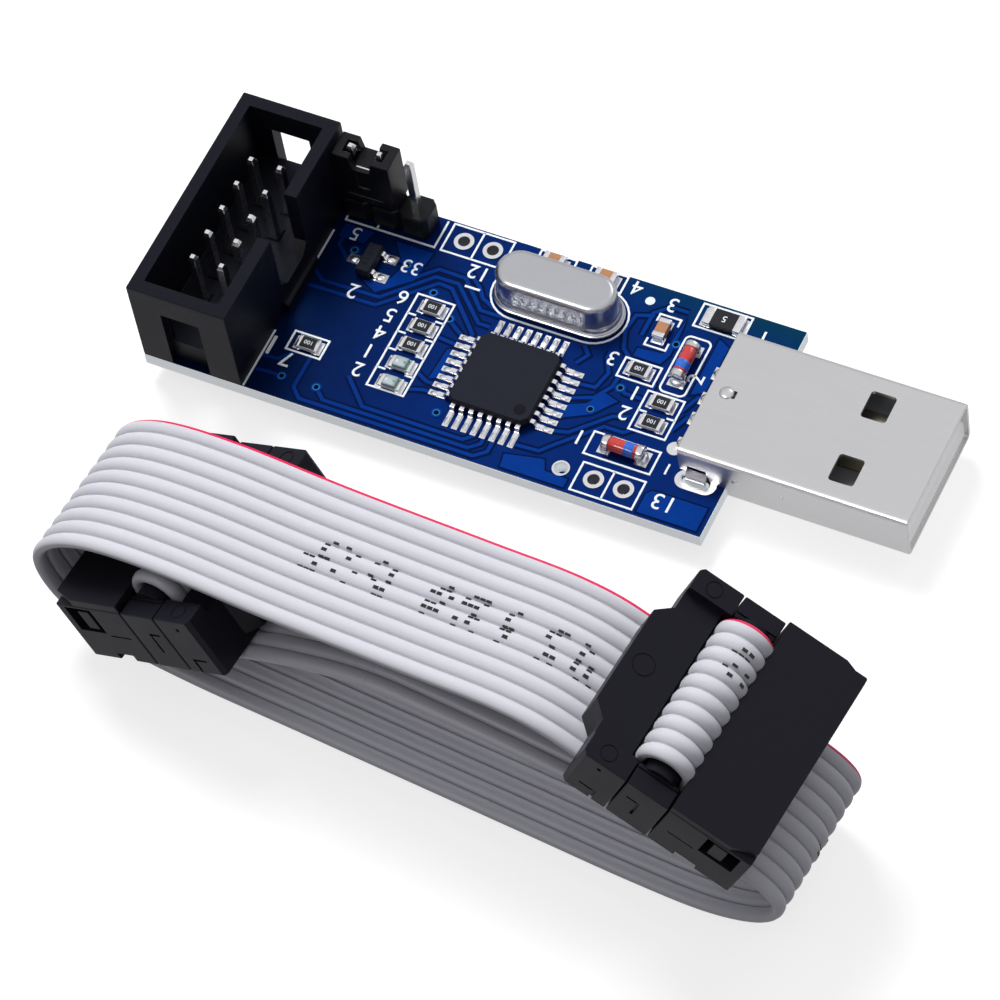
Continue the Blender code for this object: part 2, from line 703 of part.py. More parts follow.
def arc(centre, radius, first, last, steps):
    angles = [first + (last - first) * step / steps for step in range(steps + 1)]
    return [(centre[0] + radius * math.cos(a), centre[1] + radius * math.sin(a)) for a in angles]


def end_course():
    """The ribbon inside a socket: under the relief, up behind it, over the cover and down again."""
    corner = 0.9
    course = [(RIBBON_CUT, 0.0)]
    course += arc((FIRST_PASS - corner, corner), corner, -math.pi / 2, 0.0, 5)
    course += arc(((FIRST_PASS + SECOND_PASS) / 2, WRAP_HEIGHT), WRAP_RADIUS, math.pi, 0.0, 12)
    course.append((SECOND_PASS, SOCKET_MIDDLE - 2.7))
    return course


def add_socket_bar(builder, start, end, low, high, length):
    add_block(builder, (start, -length / 2, SOCKET_MIDDLE + low), (end, length / 2, SOCKET_MIDDLE + high))


def build_relief(name, frame, material):
    """The strain relief: a bar behind the ribbon with an ear at each end and a hump on its back."""
    half = SOCKET_THICKNESS / 2
    builder = bmesh.new()
    add_socket_bar(builder, SOCKET_BACK, RELIEF_EAR_END, -half, half, SOCKET_LENGTH)
    relief = make_object(name, builder, material, frame)
    hump = bmesh.new()
    outline = [(SOCKET_BACK + 0.5, -HUMP_FOOT), (SOCKET_BACK, -HUMP_FOOT), (SOCKET_BACK - 1.2, -HUMP_EDGE),
               (SOCKET_BACK - 1.2, HUMP_EDGE), (SOCKET_BACK, HUMP_FOOT), (SOCKET_BACK + 0.5, HUMP_FOOT)]
    add_prism(hump, outline, SOCKET_MIDDLE - 2.2, SOCKET_MIDDLE + 2.2, "z")
    unite(relief, hump)
    slot = bmesh.new()
    add_socket_bar(slot, RELIEF_END, RELIEF_EAR_END + 1, -half - 1, half + 1, RIBBON_SLOT)
    cut(relief, slot)
    step = bmesh.new()
    add_socket_bar(step, SOCKET_BACK - 2, RELIEF_END + 0.2, 2.1, half + 1, RIBBON_SLOT - 0.02)
    cut(relief, step)


def build_cover(name, frame, material):
    """The cover that presses the ribbon onto the contacts; the ribbon wraps over its round top."""
    half = SOCKET_THICKNESS / 2
    builder = bmesh.new()
    top = WRAP_HEIGHT
    radius = WRAP_RADIUS - RIBBON_THICKNESS / 2 - 0.12
    middle = (FIRST_PASS + SECOND_PASS) / 2
    outline = [(middle - radius, SOCKET_MIDDLE - half), (middle + radius, SOCKET_MIDDLE - half)]
    outline += arc((middle, top), radius, 0.0, math.pi, 8)
    add_prism(builder, outline, -RIBBON_SLOT / 2 - 0.3, RIBBON_SLOT / 2 + 0.3, "y")
    cover = make_object(name, builder, material, frame)
    ears = bmesh.new()
    for side in (-1, 1):
        reach = sorted((side * (RIBBON_SLOT / 2 + 0.05), side * SOCKET_LENGTH / 2))
        add_block(ears, (COVER_EAR[0], reach[0], SOCKET_MIDDLE - half - 0.001),
                  (COVER_EAR[1], reach[1], SOCKET_MIDDLE + half))
    unite(cover, ears)


def contact_places():
    return [(PITCH * (i - 2), row * PITCH / 2) for row in (-1, 1) for i in range(5)]


def build_socket_body(name, frame, material):
    """The body with ten contact wells, a raised plate on one side and a key on the other."""
    half = SOCKET_THICKNESS / 2
    builder = bmesh.new()
    add_socket_bar(builder, BODY_START, BODY_END, -half, half, SOCKET_LENGTH)
    body = make_object(name, builder, material, frame)
    plate = bmesh.new()
    reach = SOCKET_LENGTH / 2 - 0.1
    outline = [(BODY_START, -reach), (BODY_END - 2.0, -reach), (BODY_END, -reach + 0.7),
               (BODY_END, reach - 0.7), (BODY_END - 2.0, reach), (BODY_START, reach)]
    add_prism(plate, outline, SOCKET_MIDDLE + half - 0.3, SOCKET_MIDDLE + half + 0.7, "z")
    unite(body, plate)
    key = bmesh.new()
    add_socket_bar(key, BODY_START + 1.6, BODY_END - 0.01, -half - 0.8, -half + 0.3, 4.0)
    tool = make_object(name + "_key", key, None, frame)
    combine(body, tool, "UNION")
    groove = bmesh.new()
    add_socket_bar(groove, BODY_START - 1, BODY_GROOVE_END, -half - 1, half + 2, RIBBON_SLOT)
    cut(body, groove)
    wells = bmesh.new()
    for l, t in contact_places():
        add_block(wells, (BODY_GROOVE_END + 0.2, l - 0.5, SOCKET_MIDDLE + t - 0.5),
                  (BODY_END + 1, l + 0.5, SOCKET_MIDDLE + t + 0.5))
    cut(body, wells)
    strips = bmesh.new()
    for row in (-1, 1):
        add_block(strips, (BODY_GROOVE_END - 0.5, -6.0, SOCKET_MIDDLE + row * PITCH / 2 - 0.45),
                  (BODY_GROOVE_END + 0.6, 6.0, SOCKET_MIDDLE + row * PITCH / 2 + 0.45))
    cut(body, strips)


def build_contacts(name, frame, row, material):
    """Five spring contacts of one row, joined at their backs."""
    height = SOCKET_MIDDLE + row * PITCH / 2
    start = BODY_GROOVE_END + 0.08
    strip = block(name, (start, -5.9, height - 0.35), (start + 0.4, 5.9, height + 0.35), material, frame)
    blades = bmesh.new()
    for i in range(5):
        l = PITCH * (i - 2)
        add_block(blades, (start + 0.2, l - 0.4, height - 0.42), (BODY_END - 1.0, l - 0.15, height + 0.42))
    unite(strip, blades)


def build_socket(letter, frame, materials):
    plastic = materials["black_plastic"]
    build_relief(f"socket_{letter}_strain_relief", frame, plastic)
    build_cover(f"socket_{letter}_cover", frame, plastic)
    build_socket_body(f"socket_{letter}_body", frame, plastic)
    build_contacts(f"socket_{letter}_contacts_1", frame, -1, materials["pin"])
    build_contacts(f"socket_{letter}_contacts_2", frame, 1, materials["pin"])
    builder = bmesh.new()
    add_ribbon(builder, end_course())
    make_object(f"ribbon_end_{letter}", builder, materials["ribbon"], frame)


def build_cable(parent, materials):
    place = (-CABLE_OFFSET * math.sin(CABLE_TURN), CABLE_OFFSET * math.cos(CABLE_TURN), 0)
    cable = make_empty("cable_axis", parent, place, (0, 0, CABLE_TURN))
    builder = bmesh.new()
    add_ribbon(builder, middle_course())
    make_object("ribbon_middle", builder, materials["ribbon"], cable)
    hinge_a = make_empty("socket_a_axis", cable, (SOCKET_A_ENTRY[0], 0, SOCKET_A_ENTRY[1]),
                         (0, SOCKET_A_DROP, 0))
    hinge_b = make_empty("socket_b_axis", cable, (SOCKET_B_ENTRY[0], 0, SOCKET_B_ENTRY[1]),
                         (0, SOCKET_B_DROP, math.pi))
    build_socket("a", hinge_a, materials)
    build_socket("b", hinge_b, materials)


def make_materials():
    return {
        "board": make_material("blue_solder_mask", (0.012, 0.05, 0.22), 0.3),
        "black_plastic": make_material("black_plastic", (0.012, 0.012, 0.014), 0.5),
        "chip": make_material("chip_epoxy", (0.02, 0.02, 0.022), 0.6),
        "pin": make_material("tinned_brass", (0.75, 0.74, 0.7), 0.25, 1.0),
        "gold": make_material("gilt_contact", (0.85, 0.62, 0.25), 0.25, 1.0),
        "steel": make_material("plated_steel", (0.72, 0.72, 0.73), 0.25, 1.0),
        "white_plastic": make_material("white_plastic", (0.85, 0.85, 0.83), 0.45),
        "resistor": make_material("resistor_film", (0.03, 0.03, 0.035), 0.5),
        "capacitor": make_material("capacitor_ceramic", (0.45, 0.28, 0.16), 0.55),
        "led": make_material("led_lens", (0.75, 0.8, 0.72), 0.35),
        "fuse": make_material("fuse_film", (0.04, 0.04, 0.045), 0.5),
        "glass": make_material("diode_glass", (0.5, 0.04, 0.03), 0.1),
        "ribbon": make_material("ribbon_vinyl", (0.55, 0.56, 0.58), 0.5),
    }


def centre_on_table(root):
    """Move everything so that the origin is the bottom centre of the object's overall box."""
    bpy.context.view_layer.update()
    graph = bpy.context.evaluated_depsgraph_get()
    low = Vector((math.inf, math.inf, math.inf))
    high = -low
    for thing in bpy.data.objects:
        if thing.type != "MESH" or thing.hide_render:
            continue
        solid = thing.evaluated_get(graph)
        for corner in solid.data.vertices:
            point = solid.matrix_world @ corner.co
            low = Vector(map(min, low, point))
            high = Vector(map(max, high, point))
    root.location = (-(low.x + high.x) / 2, -(low.y + high.y) / 2, -low.z)
    bpy.context.view_layer.update()


def main():
    clear_scene()
    materials = make_materials()
    root = make_empty("programmer", None, (0, 0, 0))
    build_board(root, materials)
    build_header(root, materials)
    build_jumper_header(root, materials)
    build_shunt(root, materials)
    build_controller(root, materials)
    build_regulator(root, materials)
    build_crystal(root, materials)
    build_small_parts(root, materials)
    build_diode("diode_1", DIODE_ON_X, "x", materials["glass"], root)
    build_diode("diode_2", DIODE_ON_Y, "y", materials["glass"], root)
    build_plug_shell(root, materials)
    build_tongue(root, materials)
    build_cable(root, materials)
    centre_on_table(root)


main()
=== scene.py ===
"""Looks of a USB microcontroller programmer and its ribbon cable, built round their solids.

Everything is drawn in millimetres in one of three frames and then placed in metres:
the board's (x towards the USB plug, y towards the back, z up from the board's top face),
the cable's (u along it, w across it, z up) and each socket's (m towards its mating face,
l along it, t through its thickness).
"""
import json
import math
import random

import bmesh
import bpy
from mathutils import Matrix, Vector

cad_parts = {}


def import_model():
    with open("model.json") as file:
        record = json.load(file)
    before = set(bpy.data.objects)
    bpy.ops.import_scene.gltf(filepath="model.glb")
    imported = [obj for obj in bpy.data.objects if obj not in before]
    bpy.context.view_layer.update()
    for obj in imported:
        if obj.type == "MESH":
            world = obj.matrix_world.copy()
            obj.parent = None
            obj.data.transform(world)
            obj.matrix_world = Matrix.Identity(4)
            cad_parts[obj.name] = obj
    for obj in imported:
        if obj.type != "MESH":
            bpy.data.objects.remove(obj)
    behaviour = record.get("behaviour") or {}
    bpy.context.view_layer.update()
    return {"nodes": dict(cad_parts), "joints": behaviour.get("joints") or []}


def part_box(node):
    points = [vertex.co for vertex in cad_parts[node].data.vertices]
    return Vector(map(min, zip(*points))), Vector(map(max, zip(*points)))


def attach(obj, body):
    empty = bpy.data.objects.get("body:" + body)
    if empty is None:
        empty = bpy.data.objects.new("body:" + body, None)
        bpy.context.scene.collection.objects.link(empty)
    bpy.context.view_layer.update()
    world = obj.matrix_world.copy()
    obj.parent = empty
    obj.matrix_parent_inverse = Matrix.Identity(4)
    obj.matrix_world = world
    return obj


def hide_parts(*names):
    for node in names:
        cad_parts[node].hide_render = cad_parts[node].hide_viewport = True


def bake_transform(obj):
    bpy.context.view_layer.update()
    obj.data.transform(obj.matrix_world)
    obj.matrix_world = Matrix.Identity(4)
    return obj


MM = 0.001

# Circuit board
BOARD_LENGTH = 48.1
BOARD_WIDTH = 20.5
BOARD_DEPTH = 1.2
PITCH = 2.54

# Box header
HEADER_LENGTH = 20.5
HEADER_WIDTH = 8.7
HEADER_HEIGHT = 8.9
HEADER_WALL = 1.1
HEADER_FLOOR = 2.3
HEADER_MIDDLE = 10.25
HEADER_ROW_X = (3.1, 5.64)
HEADER_PINS = [(x, HEADER_MIDDLE + PITCH * (row - 2)) for row in range(5) for x in HEADER_ROW_X]

# Jumper
JUMPER_X = (10.1, 12.64, 15.18)
JUMPER_Y = 19.1
JUMPER_PINS = [(x, JUMPER_Y) for x in JUMPER_X]

# USB plug
PLUG_START = 44.25
PLUG_END = 63.25
PLUG_MIDDLE = 10.8
PLUG_WIDTH = 12.0
PLUG_TOP = 3.3
PLUG_BOTTOM = -1.2
PLUG_WALL = 0.32
PLUG_CONTACT_Y = (-3.5, -1.0, 1.0, 3.5)
PLUG_DIMPLE = (45.72, 10.99)

# Small parts
CONTROLLER = (28.15, 7.6)
LEAD_PITCH = 0.8
CRYSTAL = (28.85, 16.0)
REGULATOR = (13.05, 14.25)
FUSE = (41.75, 18.95)
COLUMN = [(19.7, 11.95 - 1.9 * i) for i in range(5)]
RESISTORS = COLUMN[:3] + [(12.0, 5.35), (37.4, 12.35), (40.35, 10.1), (40.35, 8.15)]
LEDS = COLUMN[3:]
CAPACITORS = [((31.3, 19.5), 0.0), ((26.8, 19.5), 0.0), ((37.55, 16.4), math.pi / 2)]
DIODES = [((39.5, 5.0), math.pi), ((40.55, 14.1), math.pi / 2)]
SPARE_HOLES = ((19.1, 18.9), (21.64, 18.9), (38.3, 1.9), (40.84, 1.9))
LOCATING_HOLES = (((35.5, 1.95), 0.55), ((35.35, 18.9), 0.4))

# Cable
CABLE_HINGE = {"a": (52.8, 16.6), "b": (26.7, 9.3)}
CABLE_DROP = {"a": math.radians(24.0), "b": math.radians(25.0)}
SOCKET_SIDE = {"a": 1.0, "b": -1.0}
RIBBON_HALF_THICK = 0.46
CONDUCTOR_PITCH = 1.27
CONDUCTOR_HALF_WIDTH = 0.61
CONDUCTORS = 10


def board_frame():
    """Board frame in metres, from the corner of the board's solid."""
    low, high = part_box("circuit_board")
    return Matrix.Translation((low.x, low.y, high.z)) @ Matrix.Scale(MM, 4)


def cable_frames(joints):
    """The cable's frame and each socket's frame, from the hinges in the record."""
    hinges = {joint["name"]: joint for joint in joints}
    across = -Vector(hinges["socket_a_tilt"]["axis"])
    along = Vector((across.y, -across.x, 0.0))
    up = Vector((0.0, 0.0, 1.0))
    place = Vector(hinges["socket_a_tilt"]["pos_m"])
    reach, height = CABLE_HINGE["a"]
    origin = place - along * reach * MM - up * height * MM
    frames = {"cable": to_matrix(along, across, up, origin)}
    for letter, side in SOCKET_SIDE.items():
        drop = CABLE_DROP[letter]
        mating = along * side * math.cos(drop) - up * math.sin(drop)
        thick = along * side * math.sin(drop) + up * math.cos(drop)
        place = Vector(hinges[f"socket_{letter}_tilt"]["pos_m"])
        frames[f"socket_{letter}"] = to_matrix(mating, across * side, thick, place)
    return frames


def to_matrix(x_axis, y_axis, z_axis, origin):
    turn = Matrix((x_axis, y_axis, z_axis)).transposed().to_4x4()
    return Matrix.Translation(origin) @ turn @ Matrix.Scale(MM, 4)


# ---------------------------------------------------------------- shapes, in millimetres

def add_box(shape, low, high):
    middle = [(a + b) / 2 for a, b in zip(low, high)]
    size = [b - a for a, b in zip(low, high)]
    bmesh.ops.create_cube(shape, size=1.0, matrix=Matrix.Translation(middle) @ Matrix.Diagonal((*size, 1)))


def box(low, high):
    shape = bmesh.new()
    add_box(shape, low, high)
    return shape


def add_box_pair(shape, x, y, z):
    """Two boxes that mirror each other in y: each of x, y and z is (low, high) for the first."""
    for side in (-1, 1):
        low, high = sorted((side * y[0], side * y[1]))
        add_box(shape, (x[0], low, z[0]), (x[1], high, z[1]))


def add_loft(shape, rings, closed=False):
    """Join rings of points into a skin; the two ends are capped unless the loft is closed."""
    made = [[shape.verts.new(point) for point in ring] for ring in rings]
    pairs = list(zip(made, made[1:]))
    if closed:
        pairs.append((made[-1], made[0]))
    else:
        shape.faces.new(made[0])
        shape.faces.new(made[-1])
    for lower, upper in pairs:
        for i in range(len(lower)):
            j = (i + 1) % len(lower)
            shape.faces.new((lower[i], lower[j], upper[j], upper[i]))


def add_prism(shape, outline, low, high, axis="z"):
    def point(pair, depth):
        a, b = pair
        return {"x": (depth, a, b), "y": (a, depth, b), "z": (a, b, depth)}[axis]
    add_loft(shape, [[point(pair, depth) for pair in outline] for depth in (low, high)])


def prism(outline, low, high, axis="z"):
    shape = bmesh.new()
    add_prism(shape, outline, low, high, axis)
    return shape


def circle(centre, radius, sides=32, turn=0.0):
    steps = [turn + 2 * math.pi * i / sides for i in range(sides)]
    return [(centre[0] + radius * math.cos(a), centre[1] + radius * math.sin(a)) for a in steps]


def arc(centre, radius, first, last, steps):
    return [(centre[0] + radius * math.cos(first + (last - first) * i / steps),
             centre[1] + radius * math.sin(first + (last - first) * i / steps)) for i in range(steps + 1)]


def rounded(low, high, radius, steps=5):
    """Outline of a rectangle with round corners."""
    points = []
    corners = ((high[0], high[1], 0.0), (low[0], high[1], 0.5), (low[0], low[1], 1.0), (high[0], low[1], 1.5))
    for x, y, quarter in corners:
        centre = (x - math.copysign(radius, x - low[0] - 1e-6), y - math.copysign(radius, y - low[1] - 1e-6))
        points += arc(centre, radius, quarter * math.pi, (quarter + 0.5) * math.pi, steps)
    return points


def stadium(centre, length, width, steps=14):
    radius = width / 2
    reach = length / 2 - radius
    right = arc((centre[0] + reach, centre[1]), radius, -math.pi / 2, math.pi / 2, steps)
    left = arc((centre[0] - reach, centre[1]), radius, math.pi / 2, 3 * math.pi / 2, steps)
    return right + left


def add_stack(shape, levels):
    """A solid of stacked outlines: (outline, height) pairs with equal point counts."""
    add_loft(shape, [[(x, y, z) for x, y in outline] for outline, z in levels])


def add_disc(shape, centre, radius, low, high, sides=32):
    add_prism(shape, circle(centre, radius, sides), low, high)


def add_ring(shape, centre, inner, outer, low, high, sides=32):
    """A flat washer."""
    levels = ((inner, low), (outer, low), (outer, high), (inner, high))
    rings = [[(x, y, z) for x, y in circle(centre, radius, sides)] for radius, z in levels]
    add_loft(shape, rings, closed=True)


def add_turned(shape, centre, profile, sides=24):
    """A solid of revolution about a vertical line: (radius, height) pairs."""
    add_loft(shape, [[(x, y, z) for x, y in circle(centre, radius, sides)] for radius, z in profile])


def turned(shape, matrix):
    bmesh.ops.transform(shape, matrix=matrix, verts=shape.verts)
    return shape


def moved(shape, place, turn=0.0):
    return turned(shape, Matrix.Translation((*place, 0.0)) @ Matrix.Rotation(turn, 4, "Z"))


def add_all(shape, other):
    """Add another shape's faces to this one and free it."""
    mesh = bpy.data.meshes.new("joined")
    other.to_mesh(mesh)
    other.free()
    shape.from_mesh(mesh)
    bpy.data.meshes.remove(mesh)


def clean(shape):
    bmesh.ops.remove_doubles(shape, verts=shape.verts, dist=0.001)
    bmesh.ops.recalc_face_normals(shape, faces=shape.faces)
    bmesh.ops.dissolve_limit(shape, angle_limit=0.01, verts=shape.verts, edges=shape.edges)
    return shape


def soften(shape, width, segments=2, sharper_than=30.0):
    """Round the edges that are sharper than an angle in degrees."""
    bmesh.ops.recalc_face_normals(shape, faces=shape.faces)
    limit = math.radians(sharper_than)
    edges = [e for e in shape.edges if e.is_manifold and e.calc_face_angle(0.0) > limit]
    bmesh.ops.bevel(shape, geom=edges, offset=width, segments=segments, profile=0.5,
                    affect="EDGES", clamp_overlap=True)
    return shape


def link(thing):
    bpy.context.scene.collection.objects.link(thing)
    return thing


def loose_object(shape):
    mesh = bpy.data.meshes.new("loose")
    bmesh.ops.recalc_face_normals(shape, faces=shape.faces)
    shape.to_mesh(mesh)
    shape.free()
    return link(bpy.data.objects.new("loose", mesh))


def combined(shape, tools, operation):
    """The shape after exact Booleans with each tool in turn; the inputs are freed."""
    base = loose_object(shape)
    helpers = [loose_object(tool) for tool in tools]
    for helper in helpers:
        modifier = base.modifiers.new("step", "BOOLEAN")
        modifier.operation = operation
        modifier.solver = "EXACT"
        modifier.use_self = True
        modifier.object = helper
    bpy.context.view_layer.update()
    solid = base.evaluated_get(bpy.context.evaluated_depsgraph_get())
    result = bmesh.new()
    result.from_mesh(solid.to_mesh())
    for thing in [base, *helpers]:
        mesh = thing.data
        bpy.data.objects.remove(thing)
        bpy.data.meshes.remove(mesh)
    return clean(result)


def carve(shape, *tools):
    return combined(shape, tools, "DIFFERENCE")


def weld(shape, *tools):
    return combined(shape, tools, "UNION")


def path_strip(shape, points, width, low, high, closed=False):
    """A flat strip of constant width with mitred corners along a line of x and y."""
    count = len(points)
    rings = []
    for i, here in enumerate(points):
        here = Vector(here)
        before = Vector(points[i - 1]) if closed or i else None
        after = Vector(points[(i + 1) % count]) if closed or i < count - 1 else None
        ins = (here - before).normalized() if before is not None else (after - here).normalized()
        out = (after - here).normalized() if after is not None else ins
        normal = Vector((-(ins + out).y, (ins + out).x)).normalized()
        reach = width / 2 / max(normal.dot(Vector((-ins.y, ins.x))), 0.35)
        a, b = here + normal * reach, here - normal * reach
        rings.append([(a.x, a.y, low), (a.x, a.y, high), (b.x, b.y, high), (b.x, b.y, low)])
    add_loft(shape, rings, closed=closed)


def numeral(text, place, height, turn, low, high):
    """Flat digits, standing on the point given by their lower left corner."""
    curve = bpy.data.curves.new("digits", "FONT")
    curve.body = text
    curve.size = height / 0.72
    curve.extrude = (high - low) / 2
    curve.resolution_u = 3
    thing = link(bpy.data.objects.new("digits", curve))
    bpy.context.view_layer.update()
    mesh = bpy.data.meshes.new_from_object(thing)
    shape = bmesh.new()
    shape.from_mesh(mesh)
    bpy.data.objects.remove(thing)
    bpy.data.curves.remove(curve)
    bpy.data.meshes.remove(mesh)
    lift = Matrix.Translation((place[0], place[1], (low + high) / 2))
    return turned(shape, lift @ Matrix.Rotation(turn, 4, "Z"))


# ---------------------------------------------------------------- pieces

PLACES = {}                          # each body's drawing frame
FINISHES = {}                        # materials by their short names
NODES = {}                           # CAD nodes by name


def add_piece(name, parts, body, stands_for=None, smooth=40.0):
    """One shown object from (shape, finish) pairs; it rides on a body."""
    thing = loose_piece(name, parts, body, smooth)
    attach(thing, body)
    if stands_for:
        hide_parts(stands_for)


def loose_piece(name, parts, body, smooth=40.0):
    whole = bmesh.new()
    mesh = bpy.data.meshes.new(name)
    for index, (shape, key) in enumerate(parts):
        bmesh.ops.recalc_face_normals(shape, faces=shape.faces)
        for face in shape.faces:
            face.material_index = index
            face.smooth = True
        add_all(whole, shape)
        mesh.materials.append(FINISHES[key])
    turned(whole, PLACES[body])
    whole.to_mesh(mesh)
    whole.free()
    mesh.set_sharp_from_angle(angle=math.radians(smooth))
    thing = link(bpy.data.objects.new(name, mesh))
    thing.modifiers.new("even_shading", "WEIGHTED_NORMAL").keep_sharp = True
    return thing


def dress_node(name, key, bevel=0.0):
    """Give a CAD node its finish, and round its edges a little."""
    node = NODES[name]
    node.data.materials.clear()
    node.data.materials.append(FINISHES[key])
    if bevel:
        weld_step = node.modifiers.new("weld", "WELD")
        weld_step.merge_threshold = 1e-6
        edge_step = node.modifiers.new("edges", "BEVEL")
        edge_step.width = bevel * MM
        edge_step.segments = 2
        edge_step.limit_method = "ANGLE"


# ---------------------------------------------------------------- materials

def srgb(red, green, blue):
    """A linear colour from 0 to 255 display values."""
    def channel(value):
        value /= 255
        return value / 12.92 if value <= 0.04045 else ((value + 0.055) / 1.055) ** 2.4
    return channel(red), channel(green), channel(blue)


def start_material(name):
    material = bpy.data.materials.new(name)
    material.use_nodes = True
    tree = material.node_tree
    return material, tree, tree.nodes["Principled BSDF"]


def connect(tree, value, socket):
    if isinstance(value, bpy.types.NodeSocket):
        tree.links.new(value, socket)
    elif socket.type == "RGBA":
        socket.default_value = (*value, 1.0)
    else:
        socket.default_value = value


def set_inputs(tree, node, **values):
    """Give a node's inputs their values, or link them to other nodes' outputs."""
    for key, value in values.items():
        connect(tree, value, node.inputs[key.replace("_", " ")])


def add_node(tree, kind, **values):
    node = tree.nodes.new(kind)
    set_inputs(tree, node, **values)
    return node


def object_place(tree):
    return add_node(tree, "ShaderNodeTexCoord").outputs["Object"]


def axis_of(tree, vector, axis):
    return add_node(tree, "ShaderNodeSeparateXYZ", Vector=vector).outputs[axis]


def add_noise(tree, scale, detail=3.0):
    """Fine noise in metres, so a scale of 5000 gives grains of a fifth of a millimetre."""
    return add_node(tree, "ShaderNodeTexNoise", Vector=object_place(tree), Scale=scale,
                    Detail=detail).outputs["Fac"]


def stretched_noise(tree, scales, detail):
    """Noise with its own scale along each axis."""
    vector = add_node(tree, "ShaderNodeMapping", Vector=object_place(tree), Scale=scales).outputs["Vector"]
    return add_node(tree, "ShaderNodeTexNoise", Vector=vector, Scale=1.0, Detail=detail).outputs["Fac"]


def add_mix(tree, factor, first, second, blend="MIX"):
    mix = tree.nodes.new("ShaderNodeMix")
    mix.data_type = "RGBA"
    mix.blend_type = blend
    for key, value in (("Factor", factor), ("A", first), ("B", second)):
        connect(tree, value, mix.inputs[key])
    return mix.outputs["Result"]


def add_range(tree, value, low, high, from_low=0.0, from_high=1.0):
    """A value carried from one range to another, and held at its ends."""
    return add_node(tree, "ShaderNodeMapRange", Value=value, From_Min=from_low, From_Max=from_high,
                    To_Min=low, To_Max=high).outputs["Result"]


def add_bump(tree, height, strength):
    return add_node(tree, "ShaderNodeBump", Height=height, Strength=strength,
                    Distance=0.02 * MM).outputs["Normal"]


def is_ray(tree, kind):
    return add_node(tree, "ShaderNodeLightPath").outputs[f"Is {kind} Ray"]


def finish(name, colour, roughness, metallic=0.0, spread=0.08, grain=0.15, scale=2500.0, gloss=0.5, **more):
    """A finish whose colour, gloss and surface all vary a little."""
    material, tree, shader = start_material(name)
    darker = tuple(c * (1 - spread) for c in colour)
    lighter = tuple(min(c * (1 + spread), 1.0) for c in colour)
    cloudy = add_noise(tree, scale / 12)
    set_inputs(tree, shader, Base_Color=add_mix(tree, add_noise(tree, scale), darker, lighter),
               Roughness=add_range(tree, cloudy, roughness * 0.85, min(roughness * 1.15, 1.0)),
               Metallic=metallic, Specular_IOR_Level=gloss, **more)
    if grain:
        set_inputs(tree, shader, Normal=add_bump(tree, add_noise(tree, scale * 2), grain))
    return material


def solder_mask(name, shade_near_header, middle, back, roughness=0.34):
    """Blue lacquer with painted light: painted shade makes it navy near the header, it is lighter towards the
    middle, and a painted reflection turns it teal along the back edge.
    """
    material, tree, shader = start_material(name)
    place = object_place(tree)
    x, y = axis_of(tree, place, "X"), axis_of(tree, place, "Y")
    low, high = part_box("circuit_board")
    # painted light: painted shade near the header, lighter further on, and a painted teal reflection along
    # the back towards the plug
    across = add_range(tree, x, 0.0, 1.0, low.x + 8 * MM, low.x + 24 * MM)
    blue = add_mix(tree, across, shade_near_header, middle)
    right = add_range(tree, x, 0.0, 1.0, low.x + 24 * MM, low.x + 44 * MM)
    corner = add_range(tree, y, 0.0, right, high.y - 3.5 * MM, high.y)
    colour = add_mix(tree, corner, blue, back)
    speck = add_mix(tree, add_noise(tree, 900.0), (0.8, 0.8, 0.8), (1.15, 1.15, 1.15))
    set_inputs(tree, shader, Base_Color=add_mix(tree, 1.0, colour, speck, "MULTIPLY"),
               Roughness=roughness, Specular_IOR_Level=0.04,
               Normal=add_bump(tree, add_noise(tree, 2600.0), 0.12))
    return material


def laminate(name):
    """Cut edge of the glass-fibre board: pale, with faint layers, and glowing a little as painted light that
    brightens the edge.
    """
    material, tree, shader = start_material(name)
    layers = stretched_noise(tree, (400.0, 400.0, 9000.0), 2.0)
    colour = add_mix(tree, layers, srgb(206, 214, 218), srgb(236, 241, 243))
    # the emission is painted light, a glow that brightens the edge
    set_inputs(tree, shader, Base_Color=colour, Emission_Color=colour, Emission_Strength=0.45,
               Roughness=0.55, Normal=add_bump(tree, layers, 0.2))
    return material


def brushed(name, colour, roughness):
    """Plated sheet steel with fine scratches along the plug."""
    material, tree, shader = start_material(name)
    lines = stretched_noise(tree, (300.0, 6000.0, 6000.0), 3.0)
    darker, lighter = (tuple(c * share for c in colour) for share in (0.96, 1.04))
    set_inputs(tree, shader, Base_Color=add_mix(tree, lines, darker, lighter),
               Roughness=add_range(tree, lines, roughness * 0.85, roughness * 1.2),
               Metallic=1.0, Normal=add_bump(tree, lines, 0.06))
    return material


def insulator(name):
    """White plastic: pale at the plug's mouth, where light reaches it, and dim further in."""
    material, tree, shader = start_material(name)
    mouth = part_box("usb_tongue")[1].x
    nearness = add_range(tree, axis_of(tree, object_place(tree), "X"), 0.0, 1.0,
                         mouth - 2.6 * MM, mouth - 1.2 * MM)
    colour = add_mix(tree, nearness, srgb(120, 122, 126), srgb(236, 236, 236))
    set_inputs(tree, shader, Base_Color=colour, Emission_Color=colour, Roughness=0.45,
               Emission_Strength=add_range(tree, nearness, 0.0, 0.3),
               Normal=add_bump(tree, add_noise(tree, 2500.0), 0.1))
    return material


